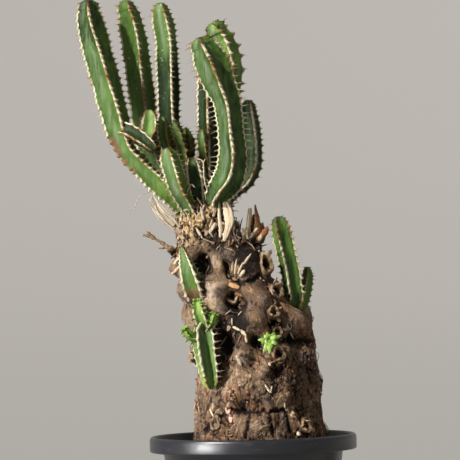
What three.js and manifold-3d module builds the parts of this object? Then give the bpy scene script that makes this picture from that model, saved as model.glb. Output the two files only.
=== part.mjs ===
// A potted caudex euphorbia: a leaning knobbly trunk with ribbed, spiny stems, in a round nursery pot.
// Millimetres, +Z up, origin at the centre of the pot's underside. The front is -Y, with +X to the right.
import * as THREE from "three";
import { mergeVertices } from "three/addons/utils/BufferGeometryUtils.js";
import Module from "manifold-3d";

const wasm = await Module();
wasm.setup();

// The pot: a tapered wall with a flared rim band, and drain holes in a ring.
const POT_HEIGHT = 130;
const RIM_RADIUS = 75;
const RIM_DROP = 11;
const RIM_WALL = 3.4;
const WALL_TOP_RADIUS = 65;
const WALL_BASE_RADIUS = 50;
const WALL = 2.2;
const FLOOR = 3;
const DRAIN_COUNT = 4;
const DRAIN_RADIUS = 4.5;
const DRAIN_RING_RADIUS = 32;
const POT_SIDES = 36;

const SEAT_GAP = 0.3;
const SOIL_TOP = 113;
const SOIL_SHOULDER_RADII = [56, 50, 40];
const SOIL_BUMP = 1.6;
const SOIL_SIDES = 28;

// The trunk's outline from its buried root to the crown: centre x, half width, height.
const TRUNK = [
  [8, 18, 58], [8, 33, 64], [7, 43, 78], [6, 45.5, 100], [4.9, 47, 129], [5, 46, 141],
  [4.6, 44.4, 155], [4.7, 43.6, 170], [5.1, 42.8, 178], [3.2, 42.2, 191], [0.6, 42, 200], [-0.4, 42.2, 207],
  [-1.8, 41.6, 214], [-5, 40, 221], [-8, 38.6, 228], [-12.5, 35.8, 235], [-17, 33, 243], [-21.6, 31.6, 250],
  [-23.6, 29.6, 257], [-24.5, 27.4, 265], [-26.5, 25, 272], [-28.5, 22.4, 279], [-30.2, 19.8, 286],
  [-31.1, 18, 293], [-32.2, 15.6, 299], [-33, 11, 302], [-33, 6, 304],
];
const TRUNK_DEPTH = 0.95;
const TRUNK_SIDES = 45;
const TRUNK_BURIED_HEIGHTS = [64, 84, 106];
const TRUNK_RINGS_FROM = 118;
const TRUNK_RING_STEP = 6.2;

// Bark knobs and hollows on the front: x, height, radius, rise or depth, to be taken times the gain.
const FRONT_KNOBS = [
  [-1, 257, 14, 8], [-25, 238, 9, 6], [-23, 255, 7, 5], [5, 233, 10, 6], [4, 216, 8, 7.5],
  [33, 216, 8, 6], [40, 207, 8, 5], [-8, 190, 8, 8], [-26, 225, 8, 5], [-38, 281, 9, 3.5],
  [-28, 290, 8, 3], [-2, 166, 12, 4.5], [-17, 160, 9, 4], [-36, 160, 10, 4.5], [11, 160, 9, 3.5],
  [43, 187, 9, 4.5], [47, 169, 10, 4], [46, 156, 9, 3.5], [27, 170, 9, 4], [22, 157, 6, 5],
  [-26, 141, 8, 5], [-7, 139, 10, 4], [10, 141, 8, 5], [38, 140, 10, 4], [49, 136, 8, 3],
  [-41, 139, 8, 3], [-49, 236, 8, 4], [-42, 190, 9, 3.5], [-30, 180, 9, 4], [10, 181, 8, 4],
];
const FRONT_HOLLOWS = [
  [-34, 254, 9, 8], [-11, 226, 10, 9], [-19, 197, 9, 8], [16, 244, 6, 4], [21, 226, 5, 5],
  [20, 211, 7, 6], [19, 177, 6, 6], [4, 198, 6, 6], [3, 272, 7, 4], [33, 199, 7, 5], [44, 178, 5, 4],
  [-7, 150, 6, 4], [5, 150, 6, 4], [-24, 150, 6, 4], [35, 147, 7, 4], [-41, 149, 6, 3],
];
const FRONT_GAIN = 1.2;
const KNOB_REACH = 1.4;
const RELIEF_FADE = { from: 85, to: 120 };

// Knobs on the sides and the back follow staggered rows, lower near the soil.
const BACK_START_ANGLE = THREE.MathUtils.degToRad(84);
const BACK_ROW_STEP = 17;
const BACK_LOW = 130;
const BACK_HIGH = 292;
const BACK_ARC_STEP = 21;
const BACK_ROW_SHIFTS = [0.3, 0.7];
const BACK_SCATTER = { arc: 0.3, height: 5, size: 0.4 };
const BACK_KNOB = { radius: 10.5, lowRise: 3.6, highRise: 7, lowHeight: 185, highHeight: 225 };
const BACK_FULL_WIDTH = 36;
const CRACK = { ridges: 13, rise: 1.1, sway: 0.7, swayLength: 17, fadeFrom: 205, fadeTo: 235 };

// Open ring scars where old stems fell off: x, height, outer radius, lift.
const FRONT_SCARS = [
  [10.7, 254, 5, 5], [19.5, 234, 5, 4], [16.9, 219, 4.7, 4], [20.1, 205, 4, 3], [19.7, 189, 4.7, 4.5],
  [35.8, 136.5, 4.2, 3.5], [-52, 255, 3.6, 1.6], [-40, 186, 3.2, 3], [-13.7, 231, 5.5, 3],
  [-30.7, 141, 5, 2.5],
];
const SCAR_SIDES = 6;
const SCAR = { root: 3, taper: 0.86, hole: 0.5, holeDepth: 2.6, upward: 0.25 };
const BACK_SCAR = { radius: 4.4, lift: 3.5, every: 4 };

// Ribbed stems: four horn-edged ribs, concave faces, paired spines at each tooth of a rib.
const RIBS = 4;
const CREST_HALF_WIDTH = 0.9;
const VALLEY_RATIO = 0.52;
const TOOTH = 0.6;
const TOOTH_HALF_LENGTH = 0.8;
const SPINE = { length: 4.2, spread: THREE.MathUtils.degToRad(40), droop: 0.15 };
const NEIGHBOUR_STEP = 4;
const NEIGHBOUR_GAP = 1;
const TIP_BEYOND = 2;
const BARE_STEP = 10;
const SEAT_CLEARANCE = 0.35;

// Each stem: rows of x, y, height, crest radius, from the root to the tip; the ribs' turn in degrees at the
// root and at the tip; the length without spines at the root; the distance between teeth.
const STEMS = {
  stem_far_left: [
    { rows: [[-44, -3, 288, 6.5], [-51, -4, 298, 7.4], [-58.5, -6, 306, 8.4], [-68, -8, 316, 9],
      [-78, -9, 327, 9.2], [-86, -9, 336, 9], [-91, -8, 348, 10], [-95, -7, 364, 10.9],
      [-101, -5, 389, 10.9], [-107, -3, 413, 10.9], [-111, -2, 432, 10.6], [-112, -2, 441, 8],
      [-112, -2, 446, 4]],
    turn: [48, 0], bare: 24, spacing: 13 },
    { rows: [[-92, -9, 355, 5], [-84, -15, 352, 7.2], [-75, -19, 345, 6.5], [-67, -22, 338, 4]],
      turn: [30, 30], bare: 9, spacing: 11 },
    { rows: [[-76, -17, 345, 3], [-71, -15, 352, 5], [-69.5, -13, 359, 4.6], [-69.5, -13, 364, 2.6]],
      turn: [20, 20], bare: 9, spacing: 10 },
  ],
  stem_front: [
    { rows: [[-26, -8, 289, 6.5], [-24, -15, 300, 8], [-19, -21, 308, 10.6], [-13, -25, 317, 11.6],
      [-10, -26, 332, 10.9], [-11, -26, 348, 10.4], [-12, -26, 364, 10.2], [-14, -26, 373, 10.8],
      [-17.5, -26, 382, 11.8], [-21, -26, 391, 12.4], [-25, -25, 401, 12.4], [-28, -25, 408, 10.8],
      [-30.5, -24, 413, 7.4], [-31.5, -24, 416, 4]],
    turn: [0, 0], bare: 19, spacing: 13 },
  ],
  stem_short_front: [
    { rows: [[-39, -9, 288, 6], [-44, -15, 298, 6.5], [-49, -21, 308, 7.6], [-53, -25, 321, 8.3],
      [-56, -26, 333, 7.2], [-57, -26, 337, 4]],
    turn: [45, 45], bare: 19, spacing: 11 },
  ],
  stem_right: [
    { rows: [[-21, 0, 293, 5.4], [-16.5, 0, 300, 6.2], [-10, 1, 307, 6.8], [-1.5, 2, 314, 7.2],
      [4, 2, 326, 7.6], [4.5, 3, 344, 7.6], [3, 3, 359, 7.4], [2, 3, 367, 5.6], [2, 3, 371, 3]],
    turn: [22, 22], bare: 17, spacing: 12 },
  ],
  stem_short_dark: [
    { rows: [[-34, -4, 288, 5.5], [-36, -7, 298, 6.5], [-37, -10, 309, 7.8], [-38.5, -11, 322, 7.5],
      [-39.5, -11, 330, 4.4]],
    turn: [45, 45], bare: 18, spacing: 10 },
  ],
  stem_middle: [
    { rows: [[-38, 3, 290, 6], [-43, 4, 299, 6.5], [-49, 5, 316, 7.2], [-54, 8, 338, 8], [-56, 9, 363, 8.7],
      [-56, 9, 388, 9.1], [-57, 7, 417, 9.1], [-59, 6, 432, 8.6], [-60, 6, 439, 6.4], [-60, 6, 443, 3.4]],
    turn: [25, 25], bare: 30, spacing: 13 },
    { rows: [[-51, 5, 322, 3], [-56, -4, 336, 4.4], [-59, -7, 348, 4.6], [-60, -8, 356, 4],
      [-60, -8, 360, 2.4]],
    turn: [0, 0], bare: 21, spacing: 11 },
    { rows: [[-48, 5, 318, 3], [-46, -3, 333, 4.4], [-48, -6, 344, 4.6], [-50, -7, 352, 4],
      [-51, -7, 356, 2.4]],
    turn: [20, 20], bare: 21, spacing: 11 },
    { rows: [[-48, 6, 318, 3], [-42, 4, 331, 3.8], [-41, 3, 342, 4], [-43, 3, 349, 3.4],
      [-44, 3, 352, 2.2]],
      turn: [0, 0], bare: 21, spacing: 11 },
  ],
  stem_dark_back: [
    { rows: [[-27, 3, 290, 5.5], [-27, 4, 300, 6], [-27.5, 4, 318, 7], [-27.5, 3, 340, 8],
      [-27.5, 3, 365, 8.2], [-27, 3, 386, 8], [-26, 3, 398, 6], [-26, 3, 403, 3.2]],
    turn: [0, 0], bare: 34, spacing: 14 },
    { rows: [[-29, 0, 324, 3], [-31.5, -6, 335, 4.4], [-32, -8, 345, 4.2], [-32, -8, 350, 2.4]],
      turn: [30, 30], bare: 13, spacing: 10 },
  ],
  stem_left_back: [
    { rows: [[-42, 10, 290, 6], [-49, 14, 301, 6.5], [-60, 18, 316, 7.2], [-68, 20, 332, 8.7],
      [-73, 20, 349, 9.4], [-75, 20, 371, 10.2], [-77, 18, 393, 10.2], [-80, 16, 417, 10.2],
      [-83, 15, 434, 9.2], [-85, 15, 441, 7], [-85, 15, 446, 3.6]],
    turn: [16, 16], bare: 28, spacing: 13 },
  ],
  stem_right_back: [
    { rows: [[-20, 6, 288, 5.8], [-18, 12, 302, 7.2], [-15, 20, 319, 9.4], [-14, 24, 341, 10.2],
      [-14, 25, 365, 10.5], [-13, 25, 383, 10.9], [-12.5, 25, 394, 11.2], [-14.5, 24, 407, 11.4],
      [-17.5, 23, 418, 10.2], [-21, 21, 425, 7], [-23, 20, 428, 4]],
    turn: [8, 8], bare: 24, spacing: 13 },
  ],
  shoot_right: [
    { rows: [[28, -9, 218, 6], [32, -11, 228, 7.2], [31, -13, 237, 7.8], [29, -14, 252, 8],
      [25, -14, 270, 8.2], [23, -14, 280, 7.2], [22, -14, 286, 4]],
    turn: [-25, -25], bare: 18, spacing: 12 },
  ],
  shoot_right_small: [
    { rows: [[33, -1, 212, 3.6], [37, -1, 221, 4.2], [40, -1, 232, 4.7], [42, -1, 243, 4.5],
      [42, -1, 249, 2.6]],
    turn: [-8, -8], bare: 12, spacing: 10 },
  ],
  shoot_left_wedge: [
    { rows: [[-40, -20, 230, 6], [-43, -28, 238, 7], [-45, -31, 249, 6.6], [-47, -30, 259, 4.6],
      [-48, -28, 266, 2.6]],
    turn: [10, 10], bare: 12, spacing: 10 },
  ],
  shoot_hanging: [
    { rows: [[-30, -26, 212, 5.5], [-34, -35, 208, 7], [-34, -38, 200, 7.8], [-33, -38, 189, 8],
      [-31, -36.5, 176, 6.9], [-29.5, -36, 167, 4]],
    turn: [12, 12], bare: 10, spacing: 10 },
    { rows: [[-33, -33, 207, 4.5], [-35, -37, 214, 6], [-37, -38, 221, 5.6], [-38, -38, 228, 2.8]],
      turn: [0, 0], bare: 10, spacing: 11 },
    { rows: [[-37, -34, 200, 3], [-43, -37, 203, 3.6], [-47, -38, 208, 2.6]], turn: [0, 0], bare: 9,
      spacing: 10 },
    { rows: [[-32, -36, 207, 3], [-28, -39, 213, 3.6], [-26, -40, 218, 2.4]], turn: [0, 0], bare: 9,
      spacing: 10 },
  ],
};

// The leafy rosette on the front: its place on the bark, and its leaves.
const ROSETTE = { x: 12.4, y: -45, z: 199, stalk: 8, stalkRadius: 2.6, leaves: 7, length: 9, width: 1.7,
  thickness: 0.9, lift: 0.45 };

// Dry pieces: rows of x, y, height, half width, half thickness.
const DRY = {
  papery_flake: [
    [[-19, -17, 300, 1.6, 0.45], [-16, -21.5, 296, 3.2, 0.45], [-13.5, -24.5, 290, 4.2, 0.45],
      [-12.8, -28, 283, 3.8, 0.45], [-14.6, -31, 276, 2.4, 0.45], [-18, -31, 270, 1, 0.45]],
  ],
  dead_twig: [
    [[-50, -4, 262, 2, 2], [-57, -5, 266, 1.8, 1.8], [-62, -5, 270, 1.5, 1.5], [-66, -5, 272.5, 1.3, 1.3],
      [-71, -5, 275.5, 1.2, 1.2], [-77, -5, 276.5, 0.8, 0.8]],
  ],
  fibre_strip: [
    [[-46, -6, 277, 2, 0.8], [-52, -7, 281, 2.2, 0.8], [-57, -8, 285, 2.2, 0.7], [-63, -8, 291, 1.8, 0.6],
      [-68, -8, 300, 1, 0.5]],
  ],
  dry_cluster: [
    [[1, -8, 262, 4, 4], [1, -9, 269, 4.5, 4], [2, -9, 273, 3, 3]],
    [[1, -9, 268, 1.6, 1], [0.5, -10, 280, 1.8, 0.8], [1, -10, 288, 2, 0.8], [0.5, -9, 296, 1.2, 0.6]],
    [[4, -8, 268, 1.6, 1], [6, -8, 279, 2.2, 0.8], [7.5, -8, 288, 1.6, 0.6], [6, -8, 298, 0.6, 0.5]],
    [[3, -10, 268, 1.4, 1], [8, -12, 272, 2.2, 0.8], [14, -13, 277, 2.4, 0.7]],
    [[0, -10, 268, 1.2, 1], [-4, -13, 273, 1.4, 0.8], [-4.5, -14, 280, 0.8, 0.6]],
  ],
};
const BLADE_STEPS = 5;
const LEAF_STEPS = 2;

const FINISH = {
  pot: { color: 0x33363c, roughness: 0.42 },
  soil: { color: 0x4a3c31, roughness: 0.95 },
  bark: { color: 0x6e5646, roughness: 0.9 },
  green: { color: 0x4f7d3a, roughness: 0.5 },
  freshGreen: { color: 0x8fc25a, roughness: 0.5 },
  dry: { color: 0xcbb08c, roughness: 0.8 },
};

const FRONT = new THREE.Vector3(0, -1, 0);

// A repeatable random draw from 0 to 1.
let seed = 20261;
function draw() {
  seed = (seed * 16807) % 2147483647;
  return seed / 2147483647;
}

function toSolid(geometry) {
  const bare = geometry.clone();
  bare.deleteAttribute("normal");
  bare.deleteAttribute("uv");
  const welded = mergeVertices(bare, 1e-5);
  const vertProperties = new Float32Array(welded.attributes.position.array);
  const triVerts = new Uint32Array(welded.index.array);
  return new wasm.Manifold(new wasm.Mesh({ numProp: 3, vertProperties, triVerts }));
}

function toGeometry(solid) {
  const { vertProperties, triVerts } = solid.getMesh();
  const geometry = new THREE.BufferGeometry();
  geometry.setAttribute("position", new THREE.BufferAttribute(vertProperties, 3));
  geometry.setIndex(new THREE.BufferAttribute(triVerts, 1));
  geometry.computeVertexNormals();
  return geometry;
}

// The largest body of a solid, so that a scrap left by a cut is dropped.
function mainBody(solid) {
  const bodies = solid.decompose();
  return bodies.reduce((best, body) => (body.volume() > best.volume() ? body : best));
}

function namedMesh(name, solid, finish) {
  const material = new THREE.MeshStandardMaterial({ ...finish, metalness: 0 });
  const mesh = new THREE.Mesh(toGeometry(solid), material);
  mesh.name = name;
  return mesh;
}

// A closed skin over rings of points, counter-clockwise seen from the end, with a point at each end.
// Each strip in spikes, { ring, side, tips }, becomes two needles.
function skin(rings, start, end, spikes = []) {
  const sides = rings[0].length;
  const points = [...rings.flat(), start, end];
  const startIndex = points.length - 2;
  const endIndex = points.length - 1;
  const index = [];
  const spikeAt = new Map(spikes.map((spike) => [spike.ring * sides + spike.side, spike]));
  for (let side = 0; side < sides; side += 1) {
    const next = (side + 1) % sides;
    const last = (rings.length - 1) * sides;
    index.push(startIndex, next, side, endIndex, last + side, last + next);
    for (let ring = 0; ring < rings.length - 1; ring += 1) {
      const a = ring * sides + side;
      const b = ring * sides + next;
      const c = b + sides;
      const d = a + sides;
      const spike = spikeAt.get(ring * sides + side);
      if (spike) {
        const right = points.push(spike.tips[0]) - 1;
        const left = points.push(spike.tips[1]) - 1;
        index.push(a, b, right, b, c, right, c, a, right);
        index.push(a, c, left, c, d, left, d, a, left);
      } else {
        index.push(a, b, c, a, c, d);
      }
    }
  }
  const geometry = new THREE.BufferGeometry().setFromPoints(points);
  geometry.setIndex(index);
  return toSolid(geometry);
}

// A lathe profile of [radius, height] turned about +Z.
function turned(profile, sides) {
  const points = profile.map(([radius, height]) => new THREE.Vector2(radius, height));
  return toSolid(new THREE.LatheGeometry(points, sides).rotateX(Math.PI / 2));
}

function wallRadius(height) {
  const rise = (height - FLOOR) / (POT_HEIGHT - RIM_DROP - FLOOR);
  return THREE.MathUtils.lerp(WALL_BASE_RADIUS, WALL_TOP_RADIUS, rise) - WALL;
}

function pot() {
  const ledge = POT_HEIGHT - RIM_DROP;
  const bead = RIM_WALL / 2;
  const rimInner = RIM_RADIUS - RIM_WALL;
  let solid = turned([
    [0, 0], [WALL_BASE_RADIUS - 1.5, 0], [WALL_BASE_RADIUS, 1.5], [WALL_TOP_RADIUS, ledge],
    [RIM_RADIUS - 0.6, ledge], [RIM_RADIUS, ledge + 0.8], [RIM_RADIUS, POT_HEIGHT - bead],
    [RIM_RADIUS - bead * 0.5, POT_HEIGHT - bead * 0.3], [RIM_RADIUS - bead, POT_HEIGHT],
    [rimInner, POT_HEIGHT - bead * 0.5], [rimInner, ledge + WALL], [WALL_TOP_RADIUS - WALL, ledge + WALL],
    [wallRadius(FLOOR), FLOOR], [0, FLOOR],
  ], POT_SIDES);
  for (let hole = 0; hole < DRAIN_COUNT; hole += 1) {
    const angle = ((hole + 0.5) * 2 * Math.PI) / DRAIN_COUNT;
    const drill = new THREE.CylinderGeometry(DRAIN_RADIUS, DRAIN_RADIUS, 4 * FLOOR, 12);
    drill.rotateX(Math.PI / 2);
    drill.translate(DRAIN_RING_RADIUS * Math.cos(angle), DRAIN_RING_RADIUS * Math.sin(angle), 0);
    solid = solid.subtract(toSolid(drill));
  }
  return solid;
}

// The soil fills the pot, with an uneven top, and the root stands in it.
function soil(trunkClearance) {
  const low = FLOOR + SEAT_GAP;
  const rings = [
    [wallRadius(low) - SEAT_GAP, low, 0], [wallRadius(SOIL_TOP) - SEAT_GAP - 1, SOIL_TOP - 2, 0],
    ...SOIL_SHOULDER_RADII.map((radius) => [radius, SOIL_TOP + 0.5, SOIL_BUMP]),
  ].map(([radius, height, bump]) => Array.from({ length: SOIL_SIDES }, (_, side) => {
    const angle = (side * 2 * Math.PI) / SOIL_SIDES;
    const rise = height + bump * (draw() - 0.5);
    return new THREE.Vector3(radius * Math.cos(angle), radius * Math.sin(angle), rise);
  }));
  const bottom = new THREE.Vector3(0, 0, low);
  const top = new THREE.Vector3(0, 0, SOIL_TOP);
  return mainBody(skin(rings, bottom, top).subtract(trunkClearance));
}

// The trunk's centre x and half width at a height, smooth through the rows.
function profileAt(height) {
  let row = 0;
  while (row < TRUNK.length - 2 && TRUNK[row + 1][2] < height) row += 1;
  const before = TRUNK[Math.max(row - 1, 0)];
  const low = TRUNK[row];
  const high = TRUNK[row + 1];
  const after = TRUNK[Math.min(row + 2, TRUNK.length - 1)];
  const step = high[2] - low[2];
  const t = THREE.MathUtils.clamp((height - low[2]) / step, 0, 1);
  return [0, 1].map((axis) => {
    const slopeLow = ((high[axis] - before[axis]) / (high[2] - before[2])) * step;
    const slopeHigh = ((after[axis] - low[axis]) / (after[2] - low[2])) * step;
    const rest = (1 - t) ** 2 * ((1 + 2 * t) * low[axis] + t * slopeLow);
    return rest + t ** 2 * ((3 - 2 * t) * high[axis] + (t - 1) * slopeHigh);
  });
}

function frontAngle(x, height) {
  const [centre, halfWidth] = profileAt(height);
  return Math.asin(THREE.MathUtils.clamp((x - centre) / (halfWidth + 2), -1, 1));
}

// Knobs in staggered rows round the sides and the back: angle from the front, height, radius, rise.
function backKnobs() {
  const knobs = [];
  let row = 0;
  for (let height = BACK_LOW; height < BACK_HIGH; height += BACK_ROW_STEP) {
    const halfWidth = profileAt(height)[1];
    const arc = 2 * (Math.PI - BACK_START_ANGLE);
    const count = Math.max(3, Math.round((arc * halfWidth) / BACK_ARC_STEP));
    const share = THREE.MathUtils.smoothstep(height, BACK_KNOB.lowHeight, BACK_KNOB.highHeight);
    const rise = THREE.MathUtils.lerp(BACK_KNOB.lowRise, BACK_KNOB.highRise, share);
    for (let place = 0; place < count; place += 1) {
      const turn = place + BACK_ROW_SHIFTS[row % 2] + BACK_SCATTER.arc * (draw() - 0.5);
      const angle = BACK_START_ANGLE + (arc * turn) / count;
      const size = (1 + BACK_SCATTER.size * (draw() - 0.5)) * Math.min(1, halfWidth / BACK_FULL_WIDTH);
      const middle = height + BACK_SCATTER.height * (draw() - 0.5);
      knobs.push([angle, middle, BACK_KNOB.radius * size, rise * size]);
    }
    row += 1;
  }
  return knobs;
}

const BACK_KNOBS = backKnobs();
const RELIEF = [
  ...FRONT_KNOBS.map(([x, z, radius, rise]) => [frontAngle(x, z), z, radius, rise * FRONT_GAIN]),
  ...FRONT_HOLLOWS.map(([x, z, radius, depth]) => [frontAngle(x, z), z, radius, -depth * FRONT_GAIN]),
  ...BACK_KNOBS,
];

// How far the bark stands out at a place: the sum of its knobs and hollows, and the cracks' low ridges.
function reliefAt(angle, height, halfWidth) {
  let relief = 0;
  for (const [knobAngle, knobHeight, radius, rise] of RELIEF) {
    const turn = Math.atan2(Math.sin(angle - knobAngle), Math.cos(angle - knobAngle));
    const reach = Math.hypot(turn * halfWidth, height - knobHeight) / (radius * KNOB_REACH);
    if (reach < 1) relief += rise * (1 - reach ** 2) ** 2;
  }
  const fade = 1 - THREE.MathUtils.smoothstep(height, CRACK.fadeFrom, CRACK.fadeTo);
  const sway = CRACK.sway * Math.sin(height / CRACK.swayLength);
  return relief + CRACK.rise * fade * Math.sin(CRACK.ridges * angle + sway * Math.PI);
}

// A point of the bark at an angle from the front, positive to the right.
function trunkPoint(angle, height, grow = 0) {
  const [centre, halfWidth] = profileAt(height);
  const fade = THREE.MathUtils.smoothstep(height, RELIEF_FADE.from, RELIEF_FADE.to);
  const radius = halfWidth + fade * reliefAt(angle, height, halfWidth) + grow;
  const depth = TRUNK_DEPTH * radius;
  return new THREE.Vector3(centre + radius * Math.sin(angle), -depth * Math.cos(angle), height);
}

function trunkSkin(grow = 0) {
  const top = TRUNK[TRUNK.length - 1];
  const heights = [...TRUNK_BURIED_HEIGHTS];
  for (let height = TRUNK_RINGS_FROM; height < top[2] - TRUNK_RING_STEP / 2; height += TRUNK_RING_STEP) {
    heights.push(height);
  }
  const rings = heights.map((height) => Array.from({ length: TRUNK_SIDES }, (_, side) =>
    trunkPoint((side * 2 * Math.PI) / TRUNK_SIDES, height, grow)));
  const low = new THREE.Vector3(TRUNK[0][0], 0, TRUNK[0][2] - grow);
  const high = new THREE.Vector3(top[0], 0, top[2] + grow);
  return skin(rings, low, high);
}

// An open cup that stands on the bark, square to it, with its root sunk in.
function scar(angle, height, radius, lift) {
  const profile = [
    [0, -SCAR.root], [radius, -SCAR.root], [radius * SCAR.taper, lift], [radius * SCAR.hole, lift],
    [0, lift - SCAR.holeDepth],
  ].map(([reach, along]) => new THREE.Vector2(reach, along));
  const cup = new THREE.LatheGeometry(profile, SCAR_SIDES);
  const outward = new THREE.Vector3(Math.sin(angle), -Math.cos(angle), SCAR.upward).normalize();
  cup.applyQuaternion(new THREE.Quaternion().setFromUnitVectors(new THREE.Vector3(0, 1, 0), outward));
  const seat = trunkPoint(angle, height);
  cup.translate(seat.x, seat.y, seat.z);
  return toSolid(cup);
}

function trunk() {
  let solid = trunkSkin();
  for (const [x, height, radius, lift] of FRONT_SCARS) {
    solid = solid.add(scar(frontAngle(x, height), height, radius, lift));
  }
  BACK_KNOBS.filter((_, place) => place % BACK_SCAR.every === 0).forEach(([angle, height]) => {
    solid = solid.add(scar(angle, height, BACK_SCAR.radius, BACK_SCAR.lift));
  });
  return mainBody(solid);
}

// A limb's centreline, with a frame that keeps its front towards -Y, and its row values along it.
class Limb {
  constructor(rows) {
    const points = rows.map(([x, y, z]) => new THREE.Vector3(x, y, z));
    this.curve = new THREE.CatmullRomCurve3(points, false, "catmullrom", 0.5);
    this.rows = rows;
    this.length = this.curve.getLength();
  }

  at(distance) {
    const t = this.curve.getUtoTmapping(THREE.MathUtils.clamp(distance / this.length, 0, 1));
    const along = this.curve.getTangent(t);
    const front = FRONT.clone().addScaledVector(along, -FRONT.dot(along)).normalize();
    const side = along.clone().cross(front);
    const step = Math.min(Math.floor(t * (this.rows.length - 1)), this.rows.length - 2);
    const part = t * (this.rows.length - 1) - step;
    const [low, high] = [this.rows[step], this.rows[step + 1]];
    const value = (column) => THREE.MathUtils.lerp(low[column], high[column], part);
    return { place: this.curve.getPoint(t), along, front, side, value, share: distance / this.length };
  }
}

// Points along every stem's centreline with the crest radius there, to keep spines out of the neighbours.
const NEIGHBOURS = Object.values(STEMS).flatMap((limbs, order) => limbs.flatMap(({ rows }) => {
  const limb = new Limb(rows);
  return Array.from({ length: Math.ceil(limb.length / NEIGHBOUR_STEP) + 1 }, (_, step) => {
    const frame = limb.at(step * NEIGHBOUR_STEP);
    return { order, place: frame.place, radius: frame.value(3) };
  });
}));

// A spine keeps a small gap to a later stem's body, and a spine's length to an earlier one.
function crowded(tip, name) {
  const own = Object.keys(STEMS).indexOf(name);
  return NEIGHBOURS.some(({ order, place, radius }) => {
    const gap = order < own ? SPINE.length : NEIGHBOUR_GAP;
    return order !== own && tip.distanceTo(place) < radius + gap;
  });
}

// The direction out of a limb at an angle from its front.
function across(frame, angle) {
  return frame.front.clone().multiplyScalar(Math.cos(angle)).addScaledVector(frame.side, Math.sin(angle));
}

// One ribbed stem. With grow, the same body a little larger and without spines, for clearance cuts.
function ribbedStem(name, { rows, turn, bare, spacing }, grow = 0) {
  const limb = new Limb(rows);
  const teeth = Math.max(1, Math.round((limb.length - bare - TOOTH_HALF_LENGTH) / spacing));
  const step = (limb.length - bare - 2 * TOOTH_HALF_LENGTH) / teeth;
  const stations = [];
  for (let distance = 0; distance < bare - BARE_STEP / 2; distance += BARE_STEP) {
    stations.push({ distance, crest: 0, spiked: false });
  }
  for (let tooth = 0; tooth <= teeth; tooth += 1) {
    const distance = bare + TOOTH_HALF_LENGTH / 2 + tooth * step;
    stations.push({ distance: distance - TOOTH_HALF_LENGTH, crest: TOOTH, spiked: true });
    stations.push({ distance: distance + TOOTH_HALF_LENGTH, crest: TOOTH, spiked: false });
  }
  const rings = [];
  const spikes = [];
  stations.forEach((station, ring) => {
    const frame = limb.at(station.distance);
    const radius = frame.value(3);
    const ringPoints = [];
    const crestHalfAngle = Math.asin(Math.min(0.35, CREST_HALF_WIDTH / radius));
    for (let rib = 0; rib < RIBS; rib += 1) {
      const twist = THREE.MathUtils.degToRad(THREE.MathUtils.lerp(turn[0], turn[1], frame.share));
      const ribAngle = twist + (rib * 2 * Math.PI) / RIBS;
      const crest = radius + station.crest * Math.min(1, radius / 8) + grow;
      const valley = radius * VALLEY_RATIO + grow;
      for (const [angle, reach] of [
        [ribAngle - crestHalfAngle, crest], [ribAngle + crestHalfAngle, crest],
        [ribAngle + Math.PI / RIBS, valley],
      ]) {
        ringPoints.push(frame.place.clone().addScaledVector(across(frame, angle), reach));
      }
      if (station.spiked && grow === 0) {
        const root = limb.at(station.distance + TOOTH_HALF_LENGTH);
        const seat = root.place.clone().addScaledVector(across(root, ribAngle), crest);
        const tips = [SPINE.spread, -SPINE.spread].map((spread) => seat.clone()
          .addScaledVector(across(root, ribAngle + spread), SPINE.length)
          .addScaledVector(root.along, -SPINE.droop * SPINE.length));
        if (!tips.some((tip) => crowded(tip, name))) spikes.push({ ring, side: rib * 3, tips });
      }
    }
    rings.push(ringPoints);
  });
  const tip = limb.at(limb.length);
  const start = limb.at(0);
  const end = tip.place.clone().addScaledVector(tip.along, TIP_BEYOND + grow);
  return skin(rings, start.place.clone().addScaledVector(start.along, -1 - grow), end, spikes);
}

// A tapered blade or stick of four sides, flat across the front.
function blade(rows, steps = BLADE_STEPS) {
  const limb = new Limb(rows);
  const rings = [];
  for (let step = 0; step <= steps; step += 1) {
    const frame = limb.at((limb.length * step) / steps);
    const width = frame.side.clone().multiplyScalar(frame.value(3));
    const depth = frame.front.clone().multiplyScalar(frame.value(4));
    rings.push([depth, width, depth.clone().negate(), width.clone().negate()]
      .map((offset) => frame.place.clone().add(offset)));
  }
  const start = limb.at(0);
  const end = limb.at(limb.length);
  return skin(rings, start.place.clone().addScaledVector(start.along, -0.5),
    end.place.clone().addScaledVector(end.along, 0.8));
}

function rosette() {
  const outward = new THREE.Vector3(0.2, -1, 0.15).normalize();
  const heart = new THREE.Vector3(ROSETTE.x, ROSETTE.y, ROSETTE.z);
  const root = heart.clone().addScaledVector(outward, -ROSETTE.stalk);
  const rowOf = (point, width, thickness) => [point.x, point.y, point.z, width, thickness];
  let solid = blade([rowOf(root, ROSETTE.stalkRadius, ROSETTE.stalkRadius),
    rowOf(heart, ROSETTE.stalkRadius, ROSETTE.stalkRadius)], 1);
  for (let leaf = 0; leaf < ROSETTE.leaves; leaf += 1) {
    const angle = (leaf * 2 * Math.PI) / ROSETTE.leaves;
    const reach = ROSETTE.length * (leaf % 2 ? 0.8 : 1);
    const spoke = new THREE.Vector3(Math.cos(angle), 0, Math.sin(angle));
    const lift = outward.clone().multiplyScalar(reach * ROSETTE.lift);
    const middle = heart.clone().addScaledVector(spoke, reach * 0.5).add(lift);
    const tip = heart.clone().addScaledVector(spoke, reach).addScaledVector(lift, 0.8);
    solid = solid.add(blade([rowOf(heart, ROSETTE.width, ROSETTE.thickness),
      rowOf(middle, ROSETTE.width, ROSETTE.thickness), rowOf(tip, 0.5, 0.35)], LEAF_STEPS));
  }
  return solid;
}

const plant = new THREE.Group();
const bark = trunk();
const barkClearance = trunkSkin(SEAT_CLEARANCE).add(bark);
plant.add(namedMesh("pot", pot(), FINISH.pot));
plant.add(namedMesh("soil", soil(barkClearance), FINISH.soil));
plant.add(namedMesh("trunk", bark, FINISH.bark));

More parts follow.
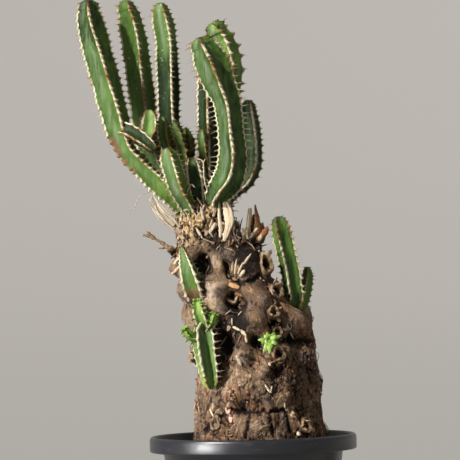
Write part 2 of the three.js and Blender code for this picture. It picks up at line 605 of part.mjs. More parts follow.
// Each later piece is cut clear of the bark and of the stems before it, so that it is seated on them.
let clearance = barkClearance;
for (const [name, limbs] of Object.entries(STEMS)) {
  const whole = limbs.map((limb) => ribbedStem(name, limb)).reduce((body, limb) => body.add(limb));
  plant.add(namedMesh(name, mainBody(whole.subtract(clearance)), FINISH.green));
  for (const limb of limbs) clearance = clearance.add(ribbedStem(name, limb, SEAT_CLEARANCE));
}
plant.add(namedMesh("rosette", mainBody(rosette().subtract(clearance)), FINISH.freshGreen));
for (const [name, blades] of Object.entries(DRY)) {
  const whole = blades.map((rows) => blade(rows)).reduce((body, rows) => body.add(rows));
  plant.add(namedMesh(name, mainBody(whole.subtract(clearance)), FINISH.dry));
}

export default plant;
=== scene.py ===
"""A potted caudex euphorbia: its bark, ribbed green stems, dry pieces and pot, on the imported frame.

Lengths are millimetres, with +Z up and the front at -Y. Each finished mesh is scaled to metres.
"""
import math
import random
from bisect import bisect_right
from collections import namedtuple

import bmesh
import bpy
from mathutils import Matrix, Vector, noise


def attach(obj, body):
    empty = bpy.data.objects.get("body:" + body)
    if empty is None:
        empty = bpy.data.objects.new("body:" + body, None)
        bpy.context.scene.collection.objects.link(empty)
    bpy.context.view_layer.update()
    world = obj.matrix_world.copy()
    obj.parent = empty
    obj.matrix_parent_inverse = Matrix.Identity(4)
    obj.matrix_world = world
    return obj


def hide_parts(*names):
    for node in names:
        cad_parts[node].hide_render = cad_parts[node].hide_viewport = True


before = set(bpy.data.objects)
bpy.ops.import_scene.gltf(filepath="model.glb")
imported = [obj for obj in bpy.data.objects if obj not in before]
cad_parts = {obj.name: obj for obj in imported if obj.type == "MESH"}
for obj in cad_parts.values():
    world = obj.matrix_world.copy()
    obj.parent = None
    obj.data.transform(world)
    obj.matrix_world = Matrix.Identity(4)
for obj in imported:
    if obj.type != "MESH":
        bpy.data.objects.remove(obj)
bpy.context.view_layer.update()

# Blender's vector noise takes its offsets from this seed, so that each run gives the same bark.
NOISE_SEED = 7
noise.seed_set(NOISE_SEED)

MM = 0.001
FRONT = Vector((0, -1, 0))
UP = Vector((0, 0, 1))
FULL_TURN = 2 * math.pi

# Seeds of the random draws. The stems' seeds count on from theirs.
SEEDS = {"scars": 5, "chips": 11, "splinters": 17, "rosette": 3, "dry_pieces": 21, "crown_husks": 42,
         "crown_stalks": 43, "soil": 8, "stems": 100}
KNOB_DRAW = {"seed": 20261, "factor": 16807, "modulus": 2147483647}

# Camera: level, square on, a long way off, with the photograph's small roll.
CAMERA_PLACE = (-13.3, -2900, 278.7)
CAMERA_VIEW = math.radians(6.58)
CAMERA_ROLL = math.radians(1.3)
CAMERA_CLIPS = (0.1, 30)

# Light: a key from the upper left, a soft box low on the left that shines on the pot, and a soft sky.
KEY_FROM = {"turn": math.radians(-54), "rise": math.radians(37)}
KEY_STRENGTH = 6.4
KEY_SOFTNESS = math.radians(2.5)
KEY_COLOUR = (1, 0.965, 0.91)
SKY_STRENGTH = 0.36
SKY_COLOUR = (1, 0.985, 0.95, 1)
SOFT_BOX = {"turn": math.radians(-55), "rise": math.radians(5), "away": 2400, "size": (560, 380),
            "watts": 2.6, "spread": math.radians(30)}
FLOOR_COLOUR = (0.27, 0.265, 0.258, 1)
FLOOR_SECTION = [(0, 0), (2200, 0), (4200, 20), (5200, 150), (6200, 400), (7200, 740),
                 (8500, 1220), (10000, 1800)]
FLOOR_STEPS = 96

# Dark, middle and pale tones of each material.
COLOURS = {
    "brown_bark": ((0.01, 0.0065, 0.004), (0.135, 0.086, 0.051), (0.37, 0.265, 0.17)),
    "red_bark": ((0.01, 0.0045, 0.003), (0.15, 0.072, 0.036), (0.36, 0.22, 0.13)),
    "pink_bark": ((0.012, 0.009, 0.007), (0.14, 0.1, 0.078), (0.4, 0.31, 0.24)),
    "straw_bark": ((0.012, 0.008, 0.004), (0.15, 0.086, 0.038), (0.54, 0.37, 0.165)),
    "tan_husk": ((0.012, 0.007, 0.004), (0.16, 0.098, 0.05), (0.42, 0.34, 0.24)),
    "orange_husk": ((0.014, 0.006, 0.003), (0.2, 0.078, 0.026), (0.42, 0.25, 0.12)),
    "pink_husk": ((0.05, 0.02, 0.014), (0.22, 0.1, 0.065), (0.42, 0.26, 0.2)),
    "green_skin": ((0.007, 0.02, 0.002), (0.066, 0.128, 0.022), (0.2, 0.32, 0.06)),
    "cork": ((0.02, 0.011, 0.006), (0.15, 0.09, 0.042), (0.36, 0.27, 0.16)),
    "horn": ((0.06, 0.026, 0.012), (0.24, 0.135, 0.055), (0.45, 0.4, 0.28)),
    "fresh_leaf": ((0.04, 0.1, 0.008), (0.17, 0.28, 0.045), (0.36, 0.46, 0.16)),
    "brown_soil": ((0.006, 0.004, 0.003), (0.035, 0.022, 0.014), (0.16, 0.12, 0.085)),
    "grey_soil": ((0.01, 0.009, 0.008), (0.06, 0.05, 0.042), (0.24, 0.22, 0.19)),
}
BLOOM_COLOUR = (0.19, 0.23, 0.165, 1)
SPECK_COLOUR = (0.4, 0.44, 0.36, 1)
PLASTIC_COLOURS = ((0.006, 0.0065, 0.0085, 1), (0.011, 0.012, 0.016, 1))
DUST_COLOUR = (0.14, 0.13, 0.12, 1)

# The pot, as in the frame.
POT_HEIGHT = 130
RIM_RADIUS = 75
RIM_DROP = 11
RIM_WALL = 3.4
WALL_TOP_RADIUS = 65
WALL_BASE_RADIUS = 50
WALL = 2.2
FLOOR = 3
DRAIN_COUNT = 4
DRAIN_RADIUS = 4.5
DRAIN_RING_RADIUS = 32
POT_STEPS = 144
POT_SHARP = math.radians(50)
DRAIN_SIDES = 32

SOIL_TOP = 113
SOIL_GAP = 0.3
SOIL_STEPS = 96
SOIL_SWELL = (0.25, 1.2)
SOIL_RADII = (58, 55, 52, 49, 46, 43, 40)
SOIL_MARKS = (0.25, 0.3, 0, 1)
GRAINS = {"count": 900, "ring": (42 ** 2, 60.5 ** 2), "sizes": (0.8, 2.4), "widths": (0.6, 1),
          "heights": (0.5, 0.9), "clear": 0.3}

# The trunk's outline from its buried root to the crown: centre x, half width, height.
TRUNK = [
    [8, 18, 58], [8, 33, 64], [7, 43, 78], [6, 45.5, 100], [4.9, 47, 129], [5, 46, 141],
    [4.6, 44.4, 155], [4.7, 43.6, 170], [5.1, 42.8, 178], [3.2, 42.2, 191], [0.6, 42, 200],
    [-0.4, 42.2, 207], [-1.8, 41.6, 214], [-5, 40, 221], [-8, 38.6, 228], [-12.5, 35.8, 235],
    [-17, 33, 243], [-21.6, 31.6, 250], [-23.6, 29.6, 257], [-24.5, 27.4, 265], [-26.5, 25, 272],
    [-28.5, 22.4, 279], [-30.2, 19.8, 286], [-31.1, 18, 293], [-32.2, 15.6, 299], [-33, 11, 302],
    [-33, 6, 304],
]
TRUNK_DEPTH = 0.95
TRUNK_LOW = 104
TRUNK_AROUND = 324
TRUNK_STEPS = 262
TOP_FADE = 5

# Bark knobs and hollows on the front: x, height, radius, rise or depth, to be taken times a gain.
FRONT_KNOBS = [
    [-1, 257, 14, 8], [-25, 238, 9, 6], [-23, 255, 7, 5], [5, 233, 10, 6], [4, 216, 8, 7.5],
    [33, 216, 8, 6], [40, 207, 8, 5], [-8, 190, 8, 8], [-26, 225, 8, 5], [-38, 281, 9, 3.5],
    [-28, 290, 8, 3], [-2, 166, 12, 4.5], [-17, 160, 9, 4], [-36, 160, 10, 4.5], [11, 160, 9, 3.5],
    [43, 187, 9, 4.5], [47, 169, 10, 4], [46, 156, 9, 3.5], [27, 170, 9, 4], [22, 157, 6, 5],
    [-26, 141, 8, 5], [-7, 139, 10, 4], [10, 141, 8, 5], [38, 140, 10, 4], [49, 136, 8, 3],
    [-41, 139, 8, 3], [-49, 236, 8, 4], [-42, 190, 9, 3.5], [-30, 180, 9, 4], [10, 181, 8, 4],
]
FRONT_HOLLOWS = [
    [-34, 254, 9, 8], [-11, 226, 10, 9], [-19, 197, 9, 8], [16, 244, 6, 4], [21, 226, 5, 5],
    [20, 211, 7, 6], [19, 177, 6, 6], [4, 198, 6, 6], [3, 272, 7, 4], [33, 199, 7, 5],
    [44, 178, 5, 4], [-7, 150, 6, 4], [5, 150, 6, 4], [-24, 150, 6, 4], [35, 147, 7, 4],
    [-41, 149, 6, 3], [-34.7, 277, 5, 3.5],
]
FRONT_GAIN = 1.25
HOLLOW_GAIN = 1.5
KNOB_REACH = 1.4
RELIEF_FADE = (85, 120)
LOW_RELIEF = 0.6
LOW_RELIEF_BAND = (172, 208)
FRONT_REACH = 2
FRONT_EDGE = 0.1
NORMAL_STEP = 2

# Cracks across the front: from x, height to x, height, then depth and half width.
FRONT_CRACKS = [
    [-16, 149.5, 4, 147.5, 3.4, 1.3], [4, 147.5, 22, 149, 3.2, 1.2], [24, 198.5, 47, 197, 3, 1.4],
    [40, 177, 49, 176, 2.6, 1.2], [-36, 133, -30, 141, 2.6, 1], [-30, 141, -20, 147, 2.6, 1],
    [-20, 147, -16, 149.5, 3, 1.2], [24, 150, 27, 134, 2.2, 1], [-17, 256, -15, 246, 3.4, 1.5],
    [-15, 246, -6, 240.5, 3.6, 1.5], [-6, 240.5, 3, 242, 3, 1.3], [3, 242, 8, 247, 2.4, 1.2],
    [-2, 147, -6, 130, 1.8, 0.9], [12, 148, 14, 133, 1.8, 0.9], [-33, 203, -30, 178, 2, 1.1],
    [17, 196, 24, 180, 2.4, 1.2],
]
CRACK_REACH = 2.5

# Paler and darker patches on the front: x, height, radius, shift. Some are painted light and shade: the pale
# patches on the columns at the upper left, which face the key light, are partly pale bark and partly painted
# light; the big knob under the crown is darkened partly for its grey-brown bark and partly as painted shade;
# the darker patches in and round the hollows are painted shade; and the two dark patches beneath the papery
# flakes are a painted shadow.
FRONT_TONES_AND_SHADE = [
    [-1, 258, 15, -0.8], [-26, 234, 13, 0.36], [-24, 252, 8, 0.2], [-30, 224, 9, 0.16], [4, 216, 14, -0.12],
    [-12, 174, 16, 0.1], [-26, 166, 14, 0.12], [36, 172, 20, -0.14], [22, 186, 12, -0.2], [6, 242, 9, -0.15],
    [46, 150, 16, -0.1], [-14, 205, 16, -0.46], [-8, 213, 8, -0.3], [-7.6, 190, 6, 0.2],
    [-9.4, 195, 1.9, -0.7], [-6.6, 189, 1.6, -0.6], [-22, 186, 12, -0.2], [30, 206, 14, -0.04],
    [-10, 226, 9, -0.3], [-34, 254, 8, -0.3], [14, 246, 7, -0.25], [-22, 269, 9, -0.4],
    [-40, 287, 8, 0.35], [-34.7, 277, 6, -0.5], [-47, 278, 6, 0.3], [-8, 269, 8, -0.4], [-22, 281, 7, 0.2],
]

# Knobs on the sides and the back follow staggered rows, lower near the soil.
BACK_START_ANGLE = math.radians(84)
BACK_ROW_STEP = 17
BACK_LOW = 130
BACK_HIGH = 292
BACK_ARC_STEP = 21
BACK_ROW_SHIFTS = (0.3, 0.7)
BACK_SCATTER = {"arc": 0.3, "height": 5, "size": 0.4}
BACK_KNOB = {"radius": 10.5, "low_rise": 3.6, "high_rise": 7, "low_height": 185, "high_height": 225}
BACK_FULL_WIDTH = 36
CRACK = {"ridges": 13, "rise": 1.1, "sway": 0.7, "sway_length": 17, "fade_from": 205, "fade_to": 235}
RIDGE_SHARE = 0.3

# The bark's fine relief: two vector noises, each a scale and a reach, bend its patterns, which have a scale
# across and one along the trunk. Bands are heights between which an effect comes or goes.
BARK_SWAYS = ((0.05, 12), (0.13, 4.4))
BARK_SCALES = {"winding": (0.15, 0.06), "plates": (0.13, 0.075), "fibres": (0.36, 0.1),
               "lumps": (0.3, 0.16)}
SWELL_SCALE = 0.08
GRIT_SCALE = 0.6
CLOUD_SCALE = 0.045
CLOUD_SHIFT = UP * 3
RED_SCALE = 0.05
RED_SHIFT = UP * 9
CUT_SWAY = {"scale": 0.3, "reach": 2.4}
STRAW_SWAY = {"scale": 0.12, "reach": 6}
FIBRE_NOISE = (0.7, 2.1, 4)
GRIT_NOISE = (0.8, 2.0, 2)
LUMP_NOISE = (0.8, 2.1, 3)
CRACK_LINE = 0.1
PLATE_EDGE = (0.01, 0.17)
HOLLOW_DEPTHS = (1.5, 6.5)
SMOOTH_BANDS = ((185, 222), (258, 272))
SMOOTH_ROUGH = 0.4
TORN_BAND = (262, 274)
STRAW_BAND = (266, 284)
RED_BAND = (175, 225)
RISES = {"plate": 0.5, "fibres": 0.4, "crack": 0.8, "swell": 1.3, "grit": 0.35, "hollow_grit": 0.6,
         "torn": 1.4}
# The hollow share darkens the bark in its hollows: painted shade, with some dark stain. The relief share
# makes knobs paler the more they stand out.
PALES = {"all": 0.55, "plate": 0.16, "fibres": 0.28, "crack": 0.3, "swell": 0.22, "torn": 0.6,
         "relief": 0.016, "grit": 0.16, "hollow": 0.55, "cloud": 0.12, "cut": 0.28}
REDS = {"all": 0.25, "cloud": 0.5, "right": 0.4, "low": 0.25}

# Open ring scars where old stems fell off: x, height, radius, lift, share of the turn they keep, and how
# tall their ring is.
FRONT_SCARS = [
    [6.5, 253, 5.6, 7.5, 0.45, 1.5], [18.8, 233.5, 5.4, 4.2, 0.7, 1], [17, 219, 4.8, 3.4, 1, 1],
    [20.3, 204.5, 4, 3, 1, 1], [20, 189, 5.2, 4, 1, 1.1], [37, 137.5, 4.6, 2.2, 0.8, 0.9],
    [-50, 254, 3.6, 1.2, 0.6, 1], [-41, 187, 3, 2, 0.8, 1], [-37, 178, 2.6, 1.4, 0.8, 1],
    [-13.7, 231, 5.6, 2.4, 1, 1], [-27, 140.5, 4.4, 0.3, 1, 1.2], [-18, 133.5, 2.8, 0.8, 1, 1],
]
BACK_SCAR = {"radius": 4.4, "lift": 3.5, "every": 4, "first": 2, "side": 0.92}
SCAR_AROUND = 20
SCAR_UPWARD = 0.25
SCAR_DEPTH = 3.6
SCAR_SEEDS = 50
SCAR_WANDER = 0.4
SCAR_TEAR = {"fineness": 2.5, "reach": 2.4, "from": 0.7}
SCAR_SHADES = {"swing": 0.3, "worn": 0.35, "full_lift": 1.5, "warmth": 0.4}
SCAR_HUSKS = {"per_lift": 2.2, "root": 0.9, "out": (0.4, 1), "spread": (-0.1, 0.9), "length": (0.7, 1.4),
              "width": (0.12, 0.4), "lift": (0.1, 0.5), "tone": (0.1, 0.9), "warmth": 0.8}

# The cup's section from its foot over its lip to its floor: share of the radius; share of the lift where
# positive, else of the depth; how pale it is.
SCAR_PROFILE = [
    (0, -1, 0.15), (1.3, -1, 0.1), (1.22, -0.2, 0.1), (1.12, 0.35, 0.25), (1.04, 0.7, 0.45), (0.94, 1, 0.6),
    (0.8, 1.05, 0.7), (0.66, 0.95, 0.35), (0.56, 0.8, 0.5), (0.46, 0.4, 0.2), (0.36, -0.3, 0), (0, -0.8, 0),
]

# Splinters and chips on the front: from x, height to x, height; half width, lift, how pale, how orange.
FRONT_SPLINTERS = [
    [-12.4, 245, -13.6, 252.5, 0.8, 1.2, 0.45, 0.5], [-11.6, 245, -12.2, 255.5, 1.2, 2, 0.75, 0.4],
    [-10.2, 246, -10.8, 257, 0.8, 2.8, 0.9, 0.3], [-9.4, 244, -8.8, 253, 1.7, 1.8, 0.5, 0.5],
    [-8.2, 246, -7.4, 254.5, 1, 2.8, 0.8, 0.4], [-8, 243.6, -4.8, 249, 1.6, 2, 0.9, 0.4],
    [-7.4, 250, -4, 260.5, 0.9, 3, 0.85, 0.6], [-13.4, 244, -15.4, 247.6, 0.9, 1, 0.6, 0.5],
    [-13.6, 244.4, -7.4, 242.2, 1.5, 1.4, 0.6, 0.5], [-10.6, 242.6, -14.4, 240.8, 1.1, 1, 0.4, 0.7],
    [-51, 262, -54, 254, 1.6, 2.5, 0.9, 0.3], [-51, 254, -55, 247, 1.8, 3, 0.75, 0.5],
    [-49, 246, -53, 239, 1.5, 3, 0.95, 0.2], [-50, 257, -52.4, 263, 1.3, 2, 0.6, 0.6],
    [-47, 238, -50, 231, 1.2, 2.5, 0.85, 0.3],
    [-15.2, 240.3, -7, 236.6, 2.4, 1.4, 0.75, 1], [-9.4, 234.5, -4.2, 230, 1.6, 1, 0.55, 1],
    [-18.3, 218, -14.6, 221.6, 0.4, 3, 0.95, 0.1], [-14, 216, -13.2, 209.6, 0.5, 2.4, 0.95, 0.1],
    [-10.4, 217, -6, 220, 0.4, 3, 0.9, 0.1], [-13.6, 209.5, -6.8, 206.6, 1, 2.2, 0.9, 0.4],
    [-8.2, 207.4, -2.6, 202.4, 1.3, 2.8, 0.9, 0.4], [-4.4, 204.4, -3, 197.6, 1, 2, 0.8, 0.5],
    [-12, 206, -15, 199, 0.5, 2, 0.6, 0.5], [-7, 204, -10, 198, 0.6, 2, 0.5, 0.6],
    [7, 193.5, 13.4, 180.7, 1.7, 2, 0.9, 0.3], [9.9, 253.6, 5.4, 241.5, 1.9, 2.2, 1, 0.2],
    [13, 246, 9.5, 240, 1.5, 1.6, 0.9, 0.4], [14.5, 239.6, 14.2, 230, 1, 2, 1, 0.1],
    [-9.5, 189.5, -7, 181.2, 1.8, 1.2, 0.9, 0.35], [9, 168, 13, 161.6, 0.8, 0.8, 0.9, 0.2],
    [14.6, 167, 12.6, 161.4, 0.6, 0.8, 0.9, 0.2], [22.6, 154.4, 24.6, 149.6, 1, 1.6, 0.95, 0.1],
    [25, 150, 31, 145.6, 1.6, 1.6, 0.85, 0.5], [27, 146, 31.6, 143, 1.2, 1.2, 0.7, 0.7],
    [-22.6, 151.6, -16.8, 147.4, 2.8, 1.6, 0.8, 1.4], [-19, 148.6, -15.2, 140.8, 2.6, 1.6, 0.85, 1.4],
    [-31.5, 150.6, -27.5, 144.8, 1, 0.6, 0.85, 0.4], [-46.5, 160, -44, 149, 1.2, 0.6, 0.8, 1.2],
    [-43, 157, -41.5, 147, 0.8, 0.6, 0.8, 0.4], [31, 205, 36, 199, 0.7, 1, 0.8, 0.3],
    [13, 215, 18, 210, 0.7, 1.6, 0.7, 0.5], [-22, 203, -25, 194, 0.6, 2, 0.6, 0.4],
    [-38, 282, -33, 272, 1, 1.4, 0.9, 0.3], [-46, 250, -44, 240, 1, 1, 0.95, 0.3],
    [-47, 242, -43, 232, 0.9, 1, 0.9, 0.3], [-47.5, 262, -46, 252, 0.8, 1, 0.85, 0.3],
    [32, 133.4, 34.4, 130.2, 1.5, 2.4, 1, 0],
]

# Loose chips and fibres, between two heights, with the ranges of their sizes. A chip's width is a share of
# its length, a crown husk's is its own. Knobs that stand out between two heights carry no chips.
CHIPS = {"count": 900, "heights": (118, 296), "length": (1.6, 6), "width": (0.14, 0.42),
         "lift": (0.05, 0.5)}
HAIRS = {"count": 150, "heights": (120, 292), "length": (5, 12), "half_width": 0.24}
CROWN_HUSKS = {"count": 210, "heights": (268, 300), "length": (3, 11), "width": (0.3, 1.6),
               "lift": (0.1, 0.8)}
CROWN_HAIRS = {"count": 110, "heights": (264, 299), "length": (5, 14), "half_width": 0.26}
HAIR = {"steps": 4, "clear": 0.2, "arch": (0.5, 3), "bend": 1.6, "half_thickness": 0.2, "ring_step": 1.5}
SPLINTER = {"clear": 0.6, "widths": (0.85, 1.15), "half_thickness": 0.35}
BARE_KNOBS = {"low": 195, "high": 262, "relief": 0.6}

# A husk's shares of its length, with its share of the full width at each.
HUSK_SHAPE = ((0, 0.6), (0.35, 1), (0.7, 0.9), (1, 0.3))
HUSK_HALF_THICKNESS = 0.28
HUSK_WIDTHS = (0.8, 1.2)
HUSK_CURL = 0.5
HUSK_RAGGED = 0.5
HUSK_SUNK = 0.15
HUSK_CURVE = 1.6

# A blade's section: places across it, and their share of its half thickness. A pleated one has more places.
BLADE_ACROSS = (0.55, -0.55)
SHEET_ACROSS = (0.8, 0.6, 0.4, 0.2, 0, -0.2, -0.4, -0.6, -0.8)
BLADE_SHOULDER = 0.8
PLEAT_DEPTH = 0.05
PLEAT_TONE = 0.16

# Ribbed stems: four horn-edged ribs, concave faces, paired spines at each tooth of a rib.
RIBS = 4
VALLEY_RATIO = 0.52
FULL_SIZE_RADIUS = 8
RING_STEP = 0.62
TIP_BEYOND = 2
TIP_ROUND = 8
TIP_BLUNTNESS = 0.86
HORN_UNEVEN = 0.7
AREOLE_SPACING = 4.7
TIP_SPACING = 2.8
TOOTH = 1.2
TOOTH_SHARPNESS = 3
CREST_INSET = 0.5
HORN_HALF_WIDTHS = (0.62, 0.9)
HORN_POINTS = ((0.2, 0.6, 1), (0.7, 1, 0.9))
HORN_SCALE = 0.4
SHOULDER_HALF_WIDTH = 1.25
SHOULDER_FACE = 0.15
FACE_POINTS = (0.4, 0.75)
SHOULDER_INSET = 1.7
VALLEY_PULL = 0.36
RIB_SWELL = 0.07
# The ribs' browning, from the front rib round by the right. The front and right ribs are browner in tint,
# and the left rib, which faces the key light, is paler as painted light.
RIB_BROWN_AND_LIGHT = (0.1, 0.08, 0, -0.12)
TOOTH_BROWN = 0.2
# Bloom: its share in the middle of a face, and how much more it takes toward the left, which faces the key
# light. This is a painted sheen.
BLOOM_AND_SUN_SHEEN = {"middle": 0.6, "left": 0.8}
SPINE = {"length": 2.9, "width": 0.19, "spread": math.radians(38), "droop": 0.14, "sunk": 0.7,
         "lengths": (0.6, 1.2), "spreads": (0.7, 1.3), "tilts": 0.4}
SPINE_SIDES = 5
SPINE_POINT = 0.04
SPINE_TIP_BROWN = 0.25
TIP_SPINES = 12
TIP_SPINE = {"length": (1.6, 2.8), "width": 0.22, "brown": 0.7}
LEAF = {"length": 3.2, "width": 0.95, "lengths": (0.7, 1.2)}

# How a stem's noises change it, each a scale and a reach; where its teeth draw closer, how far from its tip
# it browns, and the swing of its dry spots, scab and corky root.
LIMB_SWELL = (0.06, 0.07)
LIMB_TWIST = (0.03, 7)
LIMB_GAPS = (0.1, 0.5)
SCAB_NOISE = (0.3, 1.4)
CORK_NOISE = (0.3, 0.6)
PATCH_SCALE = 0.07
RIB_NOISE = {"along": 0.09, "apart": 7.7}
TOOTH_NOISE = {"along": 1.37, "apart": 5.3, "reach": 0.8}
TIP_BAND = (2, 18)
TIP_BROWNS = {"all": 0.9, "length": 10}
DRY_PATCH = {"band": (0.6, 1), "brown": 0.4}
SCAB = {"none": (-99, -90), "edge": 8, "all": 1.1}
